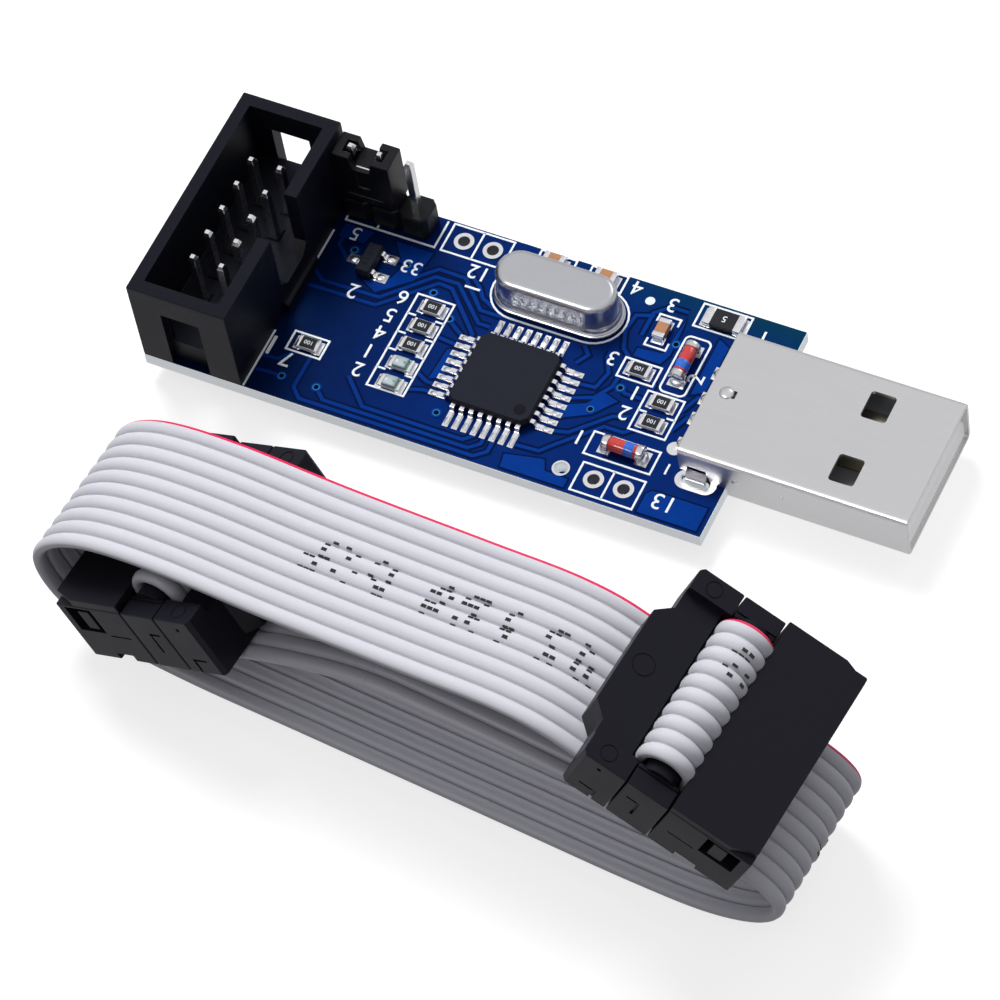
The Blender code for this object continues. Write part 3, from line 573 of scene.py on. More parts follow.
def make_materials():
    return {
        # the mask and copper colours carry painted light: painted shade near the header, a painted teal
        # reflection along the back
        "mask": solder_mask("solder_mask_blue_painted_light", srgb(0, 18, 52), srgb(1, 35, 100), srgb(1, 50, 74)),
        "copper": solder_mask("solder_mask_over_copper_painted_light", srgb(1, 40, 112), srgb(1, 50, 130),
                              srgb(1, 60, 100), roughness=0.3),
        "gap": finish("solder_mask_over_gap", srgb(0, 18, 58), 0.36, spread=0.15,
                      gloss=0.04),
        "laminate": laminate("fibreglass_edge_painted_glow"),
        "silk": finish("printed_white", srgb(232, 238, 244), 0.6, spread=0.05, grain=0.1),
        "header": finish("header_nylon", srgb(10, 12, 22), 0.45, spread=0.2, grain=0.3, scale=4000.0,
                         gloss=0.16),
        "jumper": finish("jumper_nylon", srgb(12, 13, 18), 0.4, spread=0.25, grain=0.4, scale=3500.0,
                         gloss=0.22),
        "socket": finish("socket_nylon", srgb(21, 21, 29), 0.44, spread=0.12, grain=0.2, scale=4500.0,
                         gloss=0.13),
        "epoxy": finish("chip_epoxy", srgb(27, 29, 39), 0.55, spread=0.12, grain=0.35, scale=7000.0,
                        gloss=0.16),
        "dimple": finish("chip_dimple", srgb(13, 14, 21), 0.4, spread=0.05, grain=0.0,
                         gloss=0.12),
        "pin": finish("tinned_pin", (0.78, 0.78, 0.78), 0.2, metallic=1.0, spread=0.05, grain=0.06),
        "lead": finish("tinned_lead", (0.82, 0.82, 0.84), 0.24, metallic=1.0, spread=0.1, grain=0.25),
        "solder": finish("solder", (0.74, 0.75, 0.78), 0.3, metallic=1.0, spread=0.12, grain=0.6),
        "steel": brushed("plated_steel", (0.66, 0.66, 0.66), 0.34),
        "can": finish("crystal_can_nickel", (0.54, 0.55, 0.57), 0.3, metallic=1.0, spread=0.04,
                      grain=0.08),
        "mark": finish("stamped_mark", srgb(196, 200, 206), 0.5, spread=0.05),
        "contact": finish("plug_contact", (0.84, 0.77, 0.6), 0.25, metallic=1.0, spread=0.06),
        "tongue": insulator("plug_insulator"),
        "ceramic": finish("white_ceramic", srgb(216, 220, 224), 0.45, spread=0.05),
        "film": finish("resistor_film", srgb(24, 25, 30), 0.4, spread=0.1, gloss=0.3),
        "brown": finish("capacitor_ceramic", srgb(168, 120, 84), 0.45, spread=0.12, scale=4000.0),
        "lens": finish("led_lens", srgb(158, 172, 178), 0.25, spread=0.05, Transmission_Weight=0.25),
        "green": finish("led_green_mark", srgb(40, 168, 120), 0.4, spread=0.1),
        "red_glass": finish("diode_red_glass", srgb(186, 44, 38), 0.12, spread=0.15, Coat_Weight=0.5,
                            grain=0.0),
        "blue_band": finish("diode_blue_band", srgb(12, 92, 194), 0.2, spread=0.08, Coat_Weight=0.5,
                            grain=0.0),
        "cap_metal": finish("diode_end_cap", (0.66, 0.66, 0.66), 0.22, metallic=1.0, spread=0.06),
        "vinyl": finish("ribbon_grey_vinyl", srgb(200, 200, 207), 0.45, spread=0.02, grain=0.08,
                        scale=1800.0, gloss=0.35),
        # painted shade in the narrow grooves between the conductors
        "web": finish("ribbon_web_painted_shade", srgb(168, 167, 176), 0.5, spread=0.03, grain=0.08,
                      gloss=0.2),
        "red_vinyl": finish("ribbon_red_stripe", srgb(214, 28, 84), 0.42, spread=0.05),
        "ink": finish("ribbon_ink", srgb(24, 24, 28), 0.6, spread=0.1),
        # painted shade: the dark inside of each via's hole
        "hole_shade": finish("via_painted_shade", srgb(3, 5, 14), 0.6, spread=0.1, gloss=0.03),
        "ring": finish("via_ring", srgb(34, 104, 164), 0.36, spread=0.1, gloss=0.1),
        "barrel": finish("hole_barrel", srgb(92, 96, 104), 0.5, spread=0.2),
    }


# ---------------------------------------------------------------- circuit board

MASK_TOP = 0.0
GAP_TOP = 0.012
COPPER_TOP = 0.036
LAYER_STEP = 0.0006                  # each strip lies this much above the one before it
SILK_TOP = 0.075
PAD_TOP = 0.085
TRACE_WIDTH = 0.3
GAP_WIDTH = 0.72
SILK_WIDTH = 0.16

# Copper tracks on the top face, as points in the board's frame
TRACKS = (
    ((8.9, 10.75), (15.15, 10.8), (19.0, 14.5), (20.2, 14.4), (23.6, 11.0), (23.6, 10.4)),
    ((8.8, 12.5), (10.1, 11.5), (15.1, 11.6), (18.5, 15.0), (20.5, 15.0), (23.6, 12.1), (24.6, 12.1)),
    ((15.1, 12.5), (18.4, 15.75), (20.8, 15.7), (23.2, 13.3), (25.0, 13.3)),
    ((20.9, 16.3), (22.2, 15.3), (22.9, 14.4), (24.0, 13.9)),
    ((9.0, 3.3), (10.2, 3.4), (11.2, 4.4)),
    ((9.0, 1.9), (10.0, 2.0), (11.25, 2.0)),
    ((12.6, 4.4), (12.6, 1.4), (13.5, 0.55), (28.6, 0.55), (29.5, 1.3), (29.5, 2.6)),
    ((14.3, 2.0), (15.3, 1.1), (27.9, 1.1), (28.7, 1.8), (28.7, 2.6)),
    ((16.2, 3.9), (18.5, 1.65), (27.2, 1.65), (27.9, 2.3), (27.9, 2.8)),
    ((20.9, 9.8), (22.9, 9.6), (23.6, 9.6)),
    ((21.0, 6.2), (22.2, 5.6), (23.4, 5.6)),
    ((21.0, 4.4), (22.3, 4.8), (23.4, 4.8)),
    ((21.3, 11.6), (22.3, 10.9), (23.2, 10.4)),
    ((31.3, 2.7), (33.2, 2.8), (34.2, 3.9), (37.0, 6.7), (38.6, 6.7), (39.6, 7.6)),
    ((32.9, 4.8), (34.6, 5.2), (37.2, 7.8), (38.4, 8.2)),
    ((32.9, 9.6), (34.8, 9.8), (35.2, 11.4), (34.5, 12.7), (34.5, 13.3)),
    ((32.9, 8.0), (35.1, 8.9), (36.0, 10.3), (36.1, 11.6)),
    ((32.4, 11.4), (33.0, 12.4), (32.3, 13.2)),
    ((36.3, 17.7), (34.9, 17.2), (34.7, 15.6), (35.3, 14.0), (36.6, 12.9)),
    ((38.7, 18.9), (37.2, 18.9), (36.1, 17.9), (36.1, 15.6)),
    ((38.6, 10.1), (37.2, 10.1), (36.6, 10.6)),
    ((38.4, 12.4), (39.0, 11.6), (39.0, 10.9)),
    ((9.8, 16.3), (9.8, 15.2), (10.9, 14.2), (11.8, 14.2)),
    ((14.2, 15.3), (15.2, 15.4), (16.2, 16.6)),
    ((42.0, 14.3), (42.9, 14.3)),
    ((42.0, 10.1), (42.7, 11.8)),
    ((42.0, 8.2), (42.7, 9.8)),
)

# Copper areas on the top face, as outlines
POURS = (
    ((9.4, 15.9), (11.6, 15.9), (12.0, 17.2), (9.4, 17.2)),
    ((14.6, 11.9), (17.0, 14.0), (17.3, 17.0), (14.0, 17.0), (15.6, 15.0), (15.2, 13.6), (13.2, 12.6)),
    ((31.0, 0.4), (36.4, 0.4), (36.4, 1.2), (34.4, 1.3), (34.0, 2.2), (33.6, 2.2), (30.8, 1.6)),
    ((42.6, 0.4), (47.6, 0.4), (47.6, 2.6), (43.0, 2.6), (42.6, 2.2)),
    ((32.9, 5.9), (35.6, 7.4), (37.0, 9.2), (35.7, 9.6), (34.8, 8.2), (32.9, 7.3)),
    ((36.3, 13.6), (38.6, 13.6), (39.0, 14.6), (38.9, 17.2), (38.8, 18.2), (38.4, 14.6), (36.3, 14.4)),
    ((22.2, 5.9), (23.2, 6.4), (23.2, 9.2), (22.4, 9.0)),
    ((42.0, 11.8), (43.0, 12.4), (43.0, 16.9), (42.0, 17.4)),
)

VIAS = ((11.25, 2.0), (14.3, 2.0), (11.25, 15.05), (15.85, 15.2), (19.0, 13.5), (21.3, 11.65), (24.2, 3.2),
        (35.3, 7.8), (36.65, 10.45), (39.0, 15.75))

# White printed frames: whole rectangles as x, y, x, y of two corners, and open lines as points
FRAME_BOXES = (
    (17.9, 3.66, 21.1, 13.0), (10.36, 4.48, 13.35, 6.3), (17.68, 17.5, 22.99, 20.23),
    (35.86, 11.42, 38.92, 13.27), (38.8, 7.2, 41.9, 11.0), (36.5, 3.86, 42.12, 6.03),
    (36.92, 0.43, 42.17, 3.13), (39.48, 17.9, 43.64, 20.15),
)
FRAME_LINES = (
    ((8.8, 0.1), (8.8, 5.8)), ((8.8, 12.6), (8.8, 16.3)),
    ((9.23, 20.25), (9.23, 17.54), (17.1, 17.54), (17.1, 20.25)), ((11.98, 17.54), (11.98, 18.2)),
    ((20.33, 17.5), (20.33, 20.23)), ((36.65, 15.6), (36.65, 14.89), (38.45, 14.89), (38.45, 15.6)),
    ((36.65, 17.3), (36.65, 18.0), (38.45, 18.0), (38.45, 17.3)), ((38.8, 9.1), (39.5, 9.1)),
    ((41.2, 9.1), (41.9, 9.1)), ((39.55, 0.43), (39.55, 3.13)),
    ((31.9, 18.65), (32.85, 18.65), (32.85, 20.35), (31.9, 20.35)),
    ((30.7, 18.65), (29.74, 18.65), (29.74, 20.35), (30.7, 20.35)),
    ((27.5, 18.65), (28.39, 18.65), (28.39, 20.35), (27.5, 20.35)),
    ((26.2, 18.65), (25.3, 18.65), (25.3, 20.35), (26.2, 20.35)), ((43.2, 4.3), (43.2, 5.3)),
)
COLUMN_STEPS = (5.5, 7.44, 9.16, 11.02)     # where the frame of the chips in a column is divided

# Printed numerals: text, lower left corner, height and turn in degrees
NUMERALS = (
    ("5", (11.08, 17.13), 1.31, 180), ("33", (17.16, 15.73), 1.31, 180), ("2", (13.39, 12.04), 1.44, 180),
    ("1", (9.81, 5.29), 1.88, 180), ("7", (11.39, 4.24), 1.44, 180), ("6", (17.38, 12.84), 1.38, 180),
    ("5", (17.18, 10.94), 1.38, 180), ("4", (17.18, 9.14), 1.38, 180), ("1", (17.08, 7.24), 1.38, 180),
    ("2", (17.08, 5.34), 1.38, 180), ("12", (22.47, 17.14), 1.38, 180), ("1", (22.34, 14.52), 1.38, 90),
    ("3", (37.68, 19.74), 1.38, 180), ("2", (42.44, 12.82), 1.38, 90), ("3", (35.38, 13.44), 1.38, 180),
    ("1", (38.38, 11.04), 1.38, 180), ("2", (38.38, 9.04), 1.38, 180), ("1", (36.08, 5.74), 1.38, 180),
    ("13", (45.28, 2.55), 1.5, 180), ("4", (34.38, 20.24), 1.38, 180), ("1", (45.58, 19.34), 1.38, 180),
)


def build_board():
    """Laminate with its holes, and the lacquer on both faces as thin sheets of their own."""
    slab = soften(box((0, 0, -BOARD_DEPTH), (BOARD_LENGTH, BOARD_WIDTH, 0)), 0.06)
    slab = carve(slab, board_holes())
    sheets = bmesh.new()
    margin = 0.04
    add_box(sheets, (margin, margin, -0.03), (BOARD_LENGTH - margin, BOARD_WIDTH - margin, 0.008))
    add_box(sheets, (margin, margin, -BOARD_DEPTH - 0.008),
            (BOARD_LENGTH - margin, BOARD_WIDTH - margin, -BOARD_DEPTH + 0.03))
    sheets = carve(sheets, board_holes())
    add_piece("board_laminate", [(slab, "laminate"), (sheets, "mask")], "board", "circuit_board")


def board_holes():
    holes = bmesh.new()
    low, high = -BOARD_DEPTH - 1, 1
    for centre in HEADER_PINS + JUMPER_PINS + list(SPARE_HOLES):
        add_disc(holes, centre, 0.5, low, high)
    for centre in crystal_leads():
        add_disc(holes, centre, 0.4, low, high)
    for centre, radius in LOCATING_HOLES:
        add_disc(holes, centre, radius, low, high)
    for side in (-1, 1):
        add_prism(holes, stadium(leg_slot(side), 2.2, 0.7, 8), low, high)
    return holes


def crystal_leads():
    return [(CRYSTAL[0] - 2.44, CRYSTAL[1]), (CRYSTAL[0] + 2.44, CRYSTAL[1])]


def leg_slot(side):
    return (45.75, PLUG_MIDDLE + side * 6.34)


def build_tracks():
    """Dark clearance lines with the brighter, lacquered copper on top of them."""
    gaps, copper = (bmesh.new() for _ in range(2))
    for number, track in enumerate(TRACKS):
        path_strip(gaps, track, GAP_WIDTH, MASK_TOP, GAP_TOP + number * LAYER_STEP)
        path_strip(copper, track, TRACE_WIDTH, MASK_TOP, COPPER_TOP + number * LAYER_STEP)
    for number, outline in enumerate(POURS, start=len(TRACKS)):
        path_strip(gaps, outline, 0.3, MASK_TOP, GAP_TOP + number * LAYER_STEP, closed=True)
        add_prism(copper, outline, MASK_TOP, COPPER_TOP + number * LAYER_STEP)
    for centre in VIAS:
        add_disc(copper, centre, 0.44, MASK_TOP, COPPER_TOP + 0.022)
    for i in range(6):
        y = 2.2 + 2.9 * i
        outline = ((2.0, y), (2.0 + 5.5, y + 1.2), (24.0, y + 1.2), (30.0 + 2 * i, y + 0.3), (42.0, y + 0.3))
        path_strip(copper, outline, 0.5, -BOARD_DEPTH - 0.02, -BOARD_DEPTH)
    add_piece("board_track_gaps", [(gaps, "gap")], "board")
    add_piece("board_tracks", [(copper, "copper")], "board")


def build_print():
    """White printed frames round the parts, and plain numerals beside them."""
    ink = bmesh.new()
    lines = list(FRAME_LINES)
    for y in COLUMN_STEPS:
        lines += [((17.9, y), (18.65, y)), ((20.35, y), (21.1, y))]
    rings = [stadium(CRYSTAL, 11.5, 5.25), rounded((39.47, 11.33), (41.62, 16.88), 0.45)]
    rings += [((left, low), (right, low), (right, high), (left, high))
              for left, low, right, high in FRAME_BOXES]
    for points in lines:
        path_strip(ink, points, SILK_WIDTH, MASK_TOP, SILK_TOP)
    for points in rings:
        path_strip(ink, points, SILK_WIDTH, MASK_TOP, SILK_TOP, closed=True)
    for text, spot, height, turn in NUMERALS:
        add_all(ink, numeral(text, spot, height, math.radians(turn), MASK_TOP, SILK_TOP))
    add_piece("board_print", [(ink, "silk")], "board")


def build_pads():
    """Plated rings, pads, vias and the solder on the underside."""
    plated, solder, via_shade, rings, barrel = (bmesh.new() for _ in range(5))
    bottom = -BOARD_DEPTH
    for centre in SPARE_HOLES:
        add_ring(plated, centre, 0.5, 0.82, bottom - 0.03, PAD_TOP)
        add_ring(barrel, centre, 0.47, 0.51, bottom - 0.02, PAD_TOP - 0.02)
    centre, radius = LOCATING_HOLES[0]
    add_ring(plated, centre, radius, radius + 0.16, bottom - 0.03, PAD_TOP)
    for centre in JUMPER_PINS + HEADER_PINS:
        add_ring(plated, centre, 0.46, 0.85, bottom - 0.03, bottom + 0.01)
        add_collar(solder, centre, ((0.78, 0.0), (0.62, 0.16), (0.45, 0.45), (0.36, 0.8)))
    for centre in crystal_leads():
        add_collar(solder, centre, ((0.7, 0.0), (0.52, 0.18), (0.34, 0.5), (0.27, 0.85)))
    for side in (-1, 1):
        add_leg_pads(plated, solder, leg_slot(side))
    for centre in VIAS:
        add_ring(rings, centre, 0.21, 0.31, bottom - 0.02, COPPER_TOP + 0.03, 20)
        # a dark disc fills each via's hole as painted shade
        add_disc(via_shade, centre, 0.22, bottom - 0.01, COPPER_TOP + 0.027, 20)
    for offset in PLUG_CONTACT_Y:
        middle = PLUG_MIDDLE + offset
        add_box(plated, (42.85, middle - 0.6, MASK_TOP), (44.15, middle + 0.6, PAD_TOP))
        add_all(solder, moved(solder_drop(0.55, 0.54, 0.5), (43.4, middle)))
    add_disc(plated, (42.95, 6.75), 0.62, MASK_TOP, PAD_TOP - 0.01)
    add_piece("board_plating", [(plated, "lead"), (rings, "ring"),
                                (via_shade, "hole_shade"), (barrel, "barrel")],
              "board")
    add_piece("board_solder", [(solder, "solder")], "board", smooth=70)


def add_collar(shape, centre, profile):
    """Solder round a lead under the board: (radius, depth) pairs."""
    add_turned(shape, centre, [(radius, -BOARD_DEPTH - depth) for radius, depth in profile])


def add_leg_pads(plated, solder, centre):
    ring = carve(prism(stadium(centre, 3.4, 1.75), -BOARD_DEPTH - 0.03, PAD_TOP),
                 prism(stadium(centre, 2.3, 0.78), -2 * BOARD_DEPTH, 1))
    add_all(plated, ring)
    levels = []
    for length, width, height in ((3.1, 1.5, 0.0), (2.7, 1.1, -0.2), (2.15, 0.65, -0.6)):
        levels.append((stadium(centre, length, width), -BOARD_DEPTH + height))
    add_stack(solder, levels)


def solder_drop(half_length, half_width, height):
    """A low rounded mound of solder."""
    shape = bmesh.new()
    rings = []
    for step in range(5):
        angle = step / 4.3 * math.pi / 2
        grow, rise = math.cos(angle), math.sin(angle) * height
        rings.append([(half_length * grow * math.cos(a), half_width * grow * math.sin(a), rise)
                      for a in (2 * math.pi * i / 20 for i in range(20))])
    add_loft(shape, rings)
    return shape


# ---------------------------------------------------------------- header and jumper

def build_header():
    outer = soften(box((0, 0, 0.05), (HEADER_WIDTH, HEADER_LENGTH, HEADER_HEIGHT)), 0.14)
    ledge = soften(prism(((HEADER_WIDTH - 0.6, 0.05), (HEADER_WIDTH + 0.5, 0.05), (HEADER_WIDTH + 0.5, 1.0),
                          (HEADER_WIDTH + 0.3, 1.25), (HEADER_WIDTH - 0.6, 1.25)),
                         HEADER_MIDDLE - 2.6, HEADER_MIDDLE + 2.6, "y"), 0.06)
    cavity = box((HEADER_WALL, HEADER_WALL, HEADER_FLOOR),
                 (HEADER_WIDTH - HEADER_WALL, HEADER_LENGTH - HEADER_WALL, HEADER_HEIGHT + 1))
    soften(cavity, 0.1)
    shroud = carve(weld(outer, ledge), cavity, key_slot())
    shroud = carve(shroud, end_recess(-1, 0.7), end_recess(HEADER_LENGTH - 0.7, HEADER_LENGTH + 1),
                   end_window(-2, HEADER_WALL + 0.5),
                   end_window(HEADER_LENGTH - HEADER_WALL - 0.5, HEADER_LENGTH + 2))
    soften(shroud, 0.05, 1, 50)
    details = bmesh.new()
    for x, y in HEADER_PINS:
        add_stack(details, [(square((x, y), reach), z) for reach, z in
                            ((0.62, HEADER_FLOOR), (0.5, HEADER_FLOOR + 0.16), (0.34, HEADER_FLOOR + 0.16))])
    for y in (HEADER_MIDDLE - 3.9, HEADER_MIDDLE + 3.9):
        add_disc(details, (4.37, y), 0.42, HEADER_FLOOR - 0.1, HEADER_FLOOR + 0.06)
    add_all(shroud, details)
    add_piece("header_shroud_moulding", [(shroud, "header")], "board",
              "header_shroud", smooth=32)


def key_slot():
    """The keying slot in the long wall, with sloped shoulders at its foot."""
    half = 2.25
    middle = HEADER_MIDDLE
    outline = ((middle - half, HEADER_HEIGHT + 1), (middle - half, HEADER_FLOOR + 0.9),
               (middle - half + 0.9, HEADER_FLOOR), (middle + half - 0.9, HEADER_FLOOR),
               (middle + half, HEADER_FLOOR + 0.9), (middle + half, HEADER_HEIGHT + 1))
    return prism(outline, HEADER_WIDTH - HEADER_WALL - 0.4, HEADER_WIDTH + 1, "x")


def end_recess(low, high):
    return box((2.65, low, -1), (6.0, high, 6.5))


def end_window(low, high):
    return box((2.66, low, HEADER_FLOOR), (5.99, high, 6.49))


def square(centre, reach):
    x, y = centre
    return [(x - reach, y - reach), (x + reach, y - reach), (x + reach, y + reach), (x - reach, y + reach)]


def build_jumper():
    """Two-position shunt: a block with a well over each pin and a dip between them."""
    middle = (JUMPER_X[0] + JUMPER_X[1]) / 2
    half_x, half_y, bottom, top = 2.52, 1.2, 2.75, 8.1
    shell = soften(box((-half_x, -half_y, bottom), (half_x, half_y, top)), 0.12)
    cuts = bmesh.new()
    for side in (-1, 1):
        pin = side * PITCH / 2
        add_box(cuts, (pin - 0.5, -0.6, bottom - 1), (pin + 0.5, 0.6, top + 1))
    skin = (half_y - 0.1, half_y + 0.1)
    add_box_pair(cuts, (-1.5, 1.5), skin, (3.4, 3.75))
    add_box_pair(cuts, (-0.5, 0.5), skin, (4.6, 6.3))
    add_box(cuts, (-0.6, -0.84, top - 2.4), (0.6, -0.6, top))
    dip = prism([(-0.95, top + 1), (-0.95, top - 0.1), (-0.72, top - 1.3), (0.72, top - 1.3),
                 (0.95, top - 0.1), (0.95, top + 1)], -half_y - 1, half_y + 1, "y")
    shell = soften(carve(shell, cuts, dip), 0.04, 1, 50)
    moved(shell, (middle, JUMPER_Y))
    clip = bmesh.new()
    add_box(clip, (-1.75, -0.78, top - 2.2), (1.75, -0.66, top - 1.36))
    for side in (-1, 1):
        leaf = [(side * x, y) for x, y in ((0.8, 0.44), (1.74, 0.44), (1.74, 0.56), (0.8, 0.56))]
        add_prism(clip, leaf, bottom + 0.4, top - 0.9)
    moved(clip, (middle, JUMPER_Y))
    add_piece("jumper_cap_moulding", [(shell, "jumper")], "jumper_cap",
              "jumper_shunt", smooth=32)
    add_piece("jumper_cap_clip", [(clip, "pin")], "jumper_cap", "shunt_contact")


def build_jumper_base():
    """Strip of three cells with cut corners."""
    half = 1.25
    notch = 0.42
    cells = bmesh.new()
    for x in JUMPER_X:
        reach = PITCH / 2
        outline = [(-reach, -half + notch), (-reach + notch, -half), (reach - notch, -half),
                   (reach, -half + notch), (reach, half - notch), (reach - notch, half),
                   (-reach + notch, half), (-reach, half - notch)]
        spot = [(x + a, JUMPER_Y + b) for a, b in outline]
        inset = [(x + a * 0.93, JUMPER_Y + b * 0.93) for a, b in outline]
        add_stack(cells, [(inset, 0.05), (spot, 0.25), (spot, 2.35), (inset, 2.5)])
    add_piece("jumper_base_moulding", [(cells, "jumper")], "board",
              "jumper_header_base", smooth=25)


def dress_pins():
    names = [f"header_pin_{number}" for number in range(1, 11)]
    names += [f"jumper_pin_{number}" for number in range(1, 4)]
    for name in names:
        dress_node(name, "pin", 0.03)


# ---------------------------------------------------------------- small parts

def lead_profile(start, reach, foot, thickness, top, bottom):
    """Side view of a bent lead, rounded at both bends, as (distance, height) points."""
    bend = 0.22
    knee = start + reach - bend
    toe = start + reach + bend
    upper = arc((knee, top - bend), bend, math.pi / 2, 0.0, 4)
    lower = arc((toe, bottom + thickness + bend), bend, math.pi, 1.5 * math.pi, 4)
    inner = arc((knee, top - bend), bend - thickness, 0.0, math.pi / 2, 4)
    outer = arc((toe, bottom + thickness + bend), bend + thickness, 1.5 * math.pi, math.pi, 4)
    return ([(start, top)] + upper + lower + [(toe + foot, bottom + thickness), (toe + foot, bottom)]
            + outer + inner + [(start, top - thickness)])


def add_leads(shape, centre, quarter, offsets, width, profile):
    for offset in offsets:
        lead = prism(profile, offset - width / 2, offset + width / 2, "y")
        moved(lead, centre, quarter * math.pi / 2)
        add_all(shape, lead)


def add_pad(shape, centre, quarter, reach, offset, half_width):
    pad = box((reach[0], offset - half_width, MASK_TOP), (reach[1], offset + half_width, PAD_TOP))
    add_all(shape, moved(pad, centre, quarter * math.pi / 2))


def add_drop(shape, centre, quarter, spot, size):
    drop = moved(solder_drop(*size), spot)
    add_all(shape, moved(drop, centre, quarter * math.pi / 2))


def build_controller():
    body = bmesh.new()
    corner = 0.5
    levels = ((3.36, 0.12), (3.5, 0.6), (3.5, 0.66), (3.38, 1.12))
    add_stack(body, [(cut_square(CONTROLLER, half, corner), z) for half, z in levels])
    soften(body, 0.05, 2, 25)
    spot = (CONTROLLER[0] + 2.45, CONTROLLER[1] - 2.45)
    dimple = bmesh.new()
    add_ring(dimple, spot, 0.44, 0.5, 1.10, 1.128)
    add_disc(dimple, spot, 0.44, 1.10, 1.123)
    leads, pads, solder = (bmesh.new() for _ in range(3))
    offsets = [LEAD_PITCH * (i - 3.5) for i in range(8)]
    profile = lead_profile(3.4, 0.5, 0.45, 0.15, 0.68, 0.1)
    for quarter in range(4):
        add_leads(leads, CONTROLLER, quarter, offsets, 0.36, profile)
        for offset in offsets:
            add_pad(pads, CONTROLLER, quarter, (3.85, 5.35), offset, 0.24)
            add_drop(solder, CONTROLLER, quarter, (4.78, offset), (0.42, 0.22, 0.13))
    turned(solder, Matrix.Translation((0, 0, PAD_TOP)))
    add_piece("controller_chip", [(body, "epoxy"), (dimple, "dimple"),
                                  (leads, "lead")], "board",
              "microcontroller")
    add_piece("controller_pads", [(pads, "lead"), (solder, "solder")], "board", smooth=60)


def cut_square(centre, half, corner):
    inner = half - corner
    corners = ((half, -inner), (half, inner), (inner, half), (-inner, half),
               (-half, inner), (-half, -inner), (-inner, -half), (inner, -half))
    return [(centre[0] + x, centre[1] + y) for x, y in corners]


def build_regulator():
    body = bmesh.new()
    levels = ((0.6, 1.4, 0.1), (0.65, 1.45, 0.55), (0.65, 1.45, 0.62), (0.55, 1.36, 1.05))
    add_stack(body, [([(-a, -b), (a, -b), (a, b), (-a, b)], z) for a, b, z in levels])
    soften(body, 0.05)
    moved(body, REGULATOR)
    leads, pads, solder = (bmesh.new() for _ in range(3))
    profile = lead_profile(0.5, 0.4, 0.3, 0.13, 0.62, 0.1)
    for quarter, offsets in ((0, (-0.95, 0.95)), (2, (0.0,))):
        add_leads(leads, REGULATOR, quarter, offsets, 0.42, profile)
        for offset in offsets:
            add_pad(pads, REGULATOR, quarter, (0.75, 1.95), offset, 0.42)
            add_drop(solder, REGULATOR, quarter, (1.35, offset), (0.5, 0.38, 0.3))
    marks = bmesh.new()
    for i in range(3):
        spot = (REGULATOR[0] - 0.18, REGULATOR[1] - 0.75 + 0.5 * i)
        add_box(marks, (spot[0], spot[1], 1.04), (spot[0] + 0.36, spot[1] + 0.1, 1.056))
    add_piece("regulator_chip", [(body, "epoxy"), (leads, "lead"),
                                 (marks, "dimple")], "board",
              "voltage_regulator")
    add_piece("regulator_pads", [(pads, "lead"), (solder, "solder")], "board", smooth=60)


def build_crystal():
    """Welded metal can that widens into its flanged base, with stamped strokes on its front."""
    base = bmesh.new()
    profile = ((4.3, 10.75, 0.15), (4.6, 11.05, 0.2), (4.6, 11.05, 0.38), (4.44, 10.9, 0.44),
               (4.44, 10.9, 0.52), (4.3, 10.75, 0.6))
    add_stack(base, [(stadium(CRYSTAL, length, width), z) for width, length, z in profile])
    for centre in crystal_leads():
        add_disc(base, centre, 0.22, -2.3, 0.2, 16)
    can = bmesh.new()
    radius = 0.62
    top = 3.5
    levels = [(-0.2, 0.62), (-0.2, 0.8), (-0.08, 0.95), (0.0, 1.12)]
    levels += [(radius * (1 - math.cos(a)), top - radius + radius * math.sin(a))
               for a in (math.pi / 2 * i / 7 for i in range(8))]
    add_stack(can, [(stadium(CRYSTAL, 10.2 - 2 * inset, 3.85 - 2 * inset), z) for inset, z in levels])
    marks = bmesh.new()
    front = CRYSTAL[1] - 3.85 / 2
    for i in range(9):
        x = CRYSTAL[0] - 2.9 + 0.72 * i
        add_box(marks, (x, front - 0.012, 1.75), (x + 0.1, front + 0.1, 2.3))
        add_box(marks, (x, front - 0.012, 1.75), (x + 0.28, front + 0.1, 1.83))
    add_piece("crystal_can_shell", [(can, "can"), (marks, "mark")], "board",
              "crystal_can", smooth=50)
    add_piece("crystal_flange", [(base, "can")], "board", "crystal_base", smooth=30)


def chip_shapes(length, width, height, end):
    """Body of a rectangular chip that lies along x at the origin, and its caps, pads and solder."""
    half_x, half_y = length / 2, width / 2
    body = soften(box((-half_x + end * 0.6, -half_y, 0.1), (half_x - end * 0.6, half_y, height)), 0.03)
    caps, pads, solder = (bmesh.new() for _ in range(3))
    for side in (-1, 1):
        inner, outer = sorted((side * (half_x - end), side * half_x))
        cap = box((inner, -half_y - 0.02, 0.06), (outer, half_y + 0.02, height + 0.025))
        add_all(caps, soften(cap, 0.05))
        reach = sorted((side * (half_x - end - 0.1), side * (half_x + 0.26)))
        add_box(pads, (reach[0], -half_y - 0.06, MASK_TOP), (reach[1], half_y + 0.06, PAD_TOP))
        add_all(solder, fillet(side * half_x, side * (half_x + 0.22), half_y * 0.9, height * 0.6))
    return body, [(caps, "lead"), (pads, "lead"), (solder, "solder")]


def fillet(inner, outer, half_width, height):
    """A concave slope of solder from a chip's end down to its pad."""
    shape = bmesh.new()
    steps = 5
    rings = []
    for i in range(steps + 1):
        s = i / steps
        x = inner + (outer - inner) * s
        z = PAD_TOP + (height - PAD_TOP) * (1 - s) ** 2 + 0.01
        w = half_width * (1 - 0.12 * s)
        rings.append([(x, -w, PAD_TOP - 0.02), (x, w, PAD_TOP - 0.02), (x, w * 0.9, z), (x, -w * 0.9, z)])
    add_loft(shape, rings)
    return shape


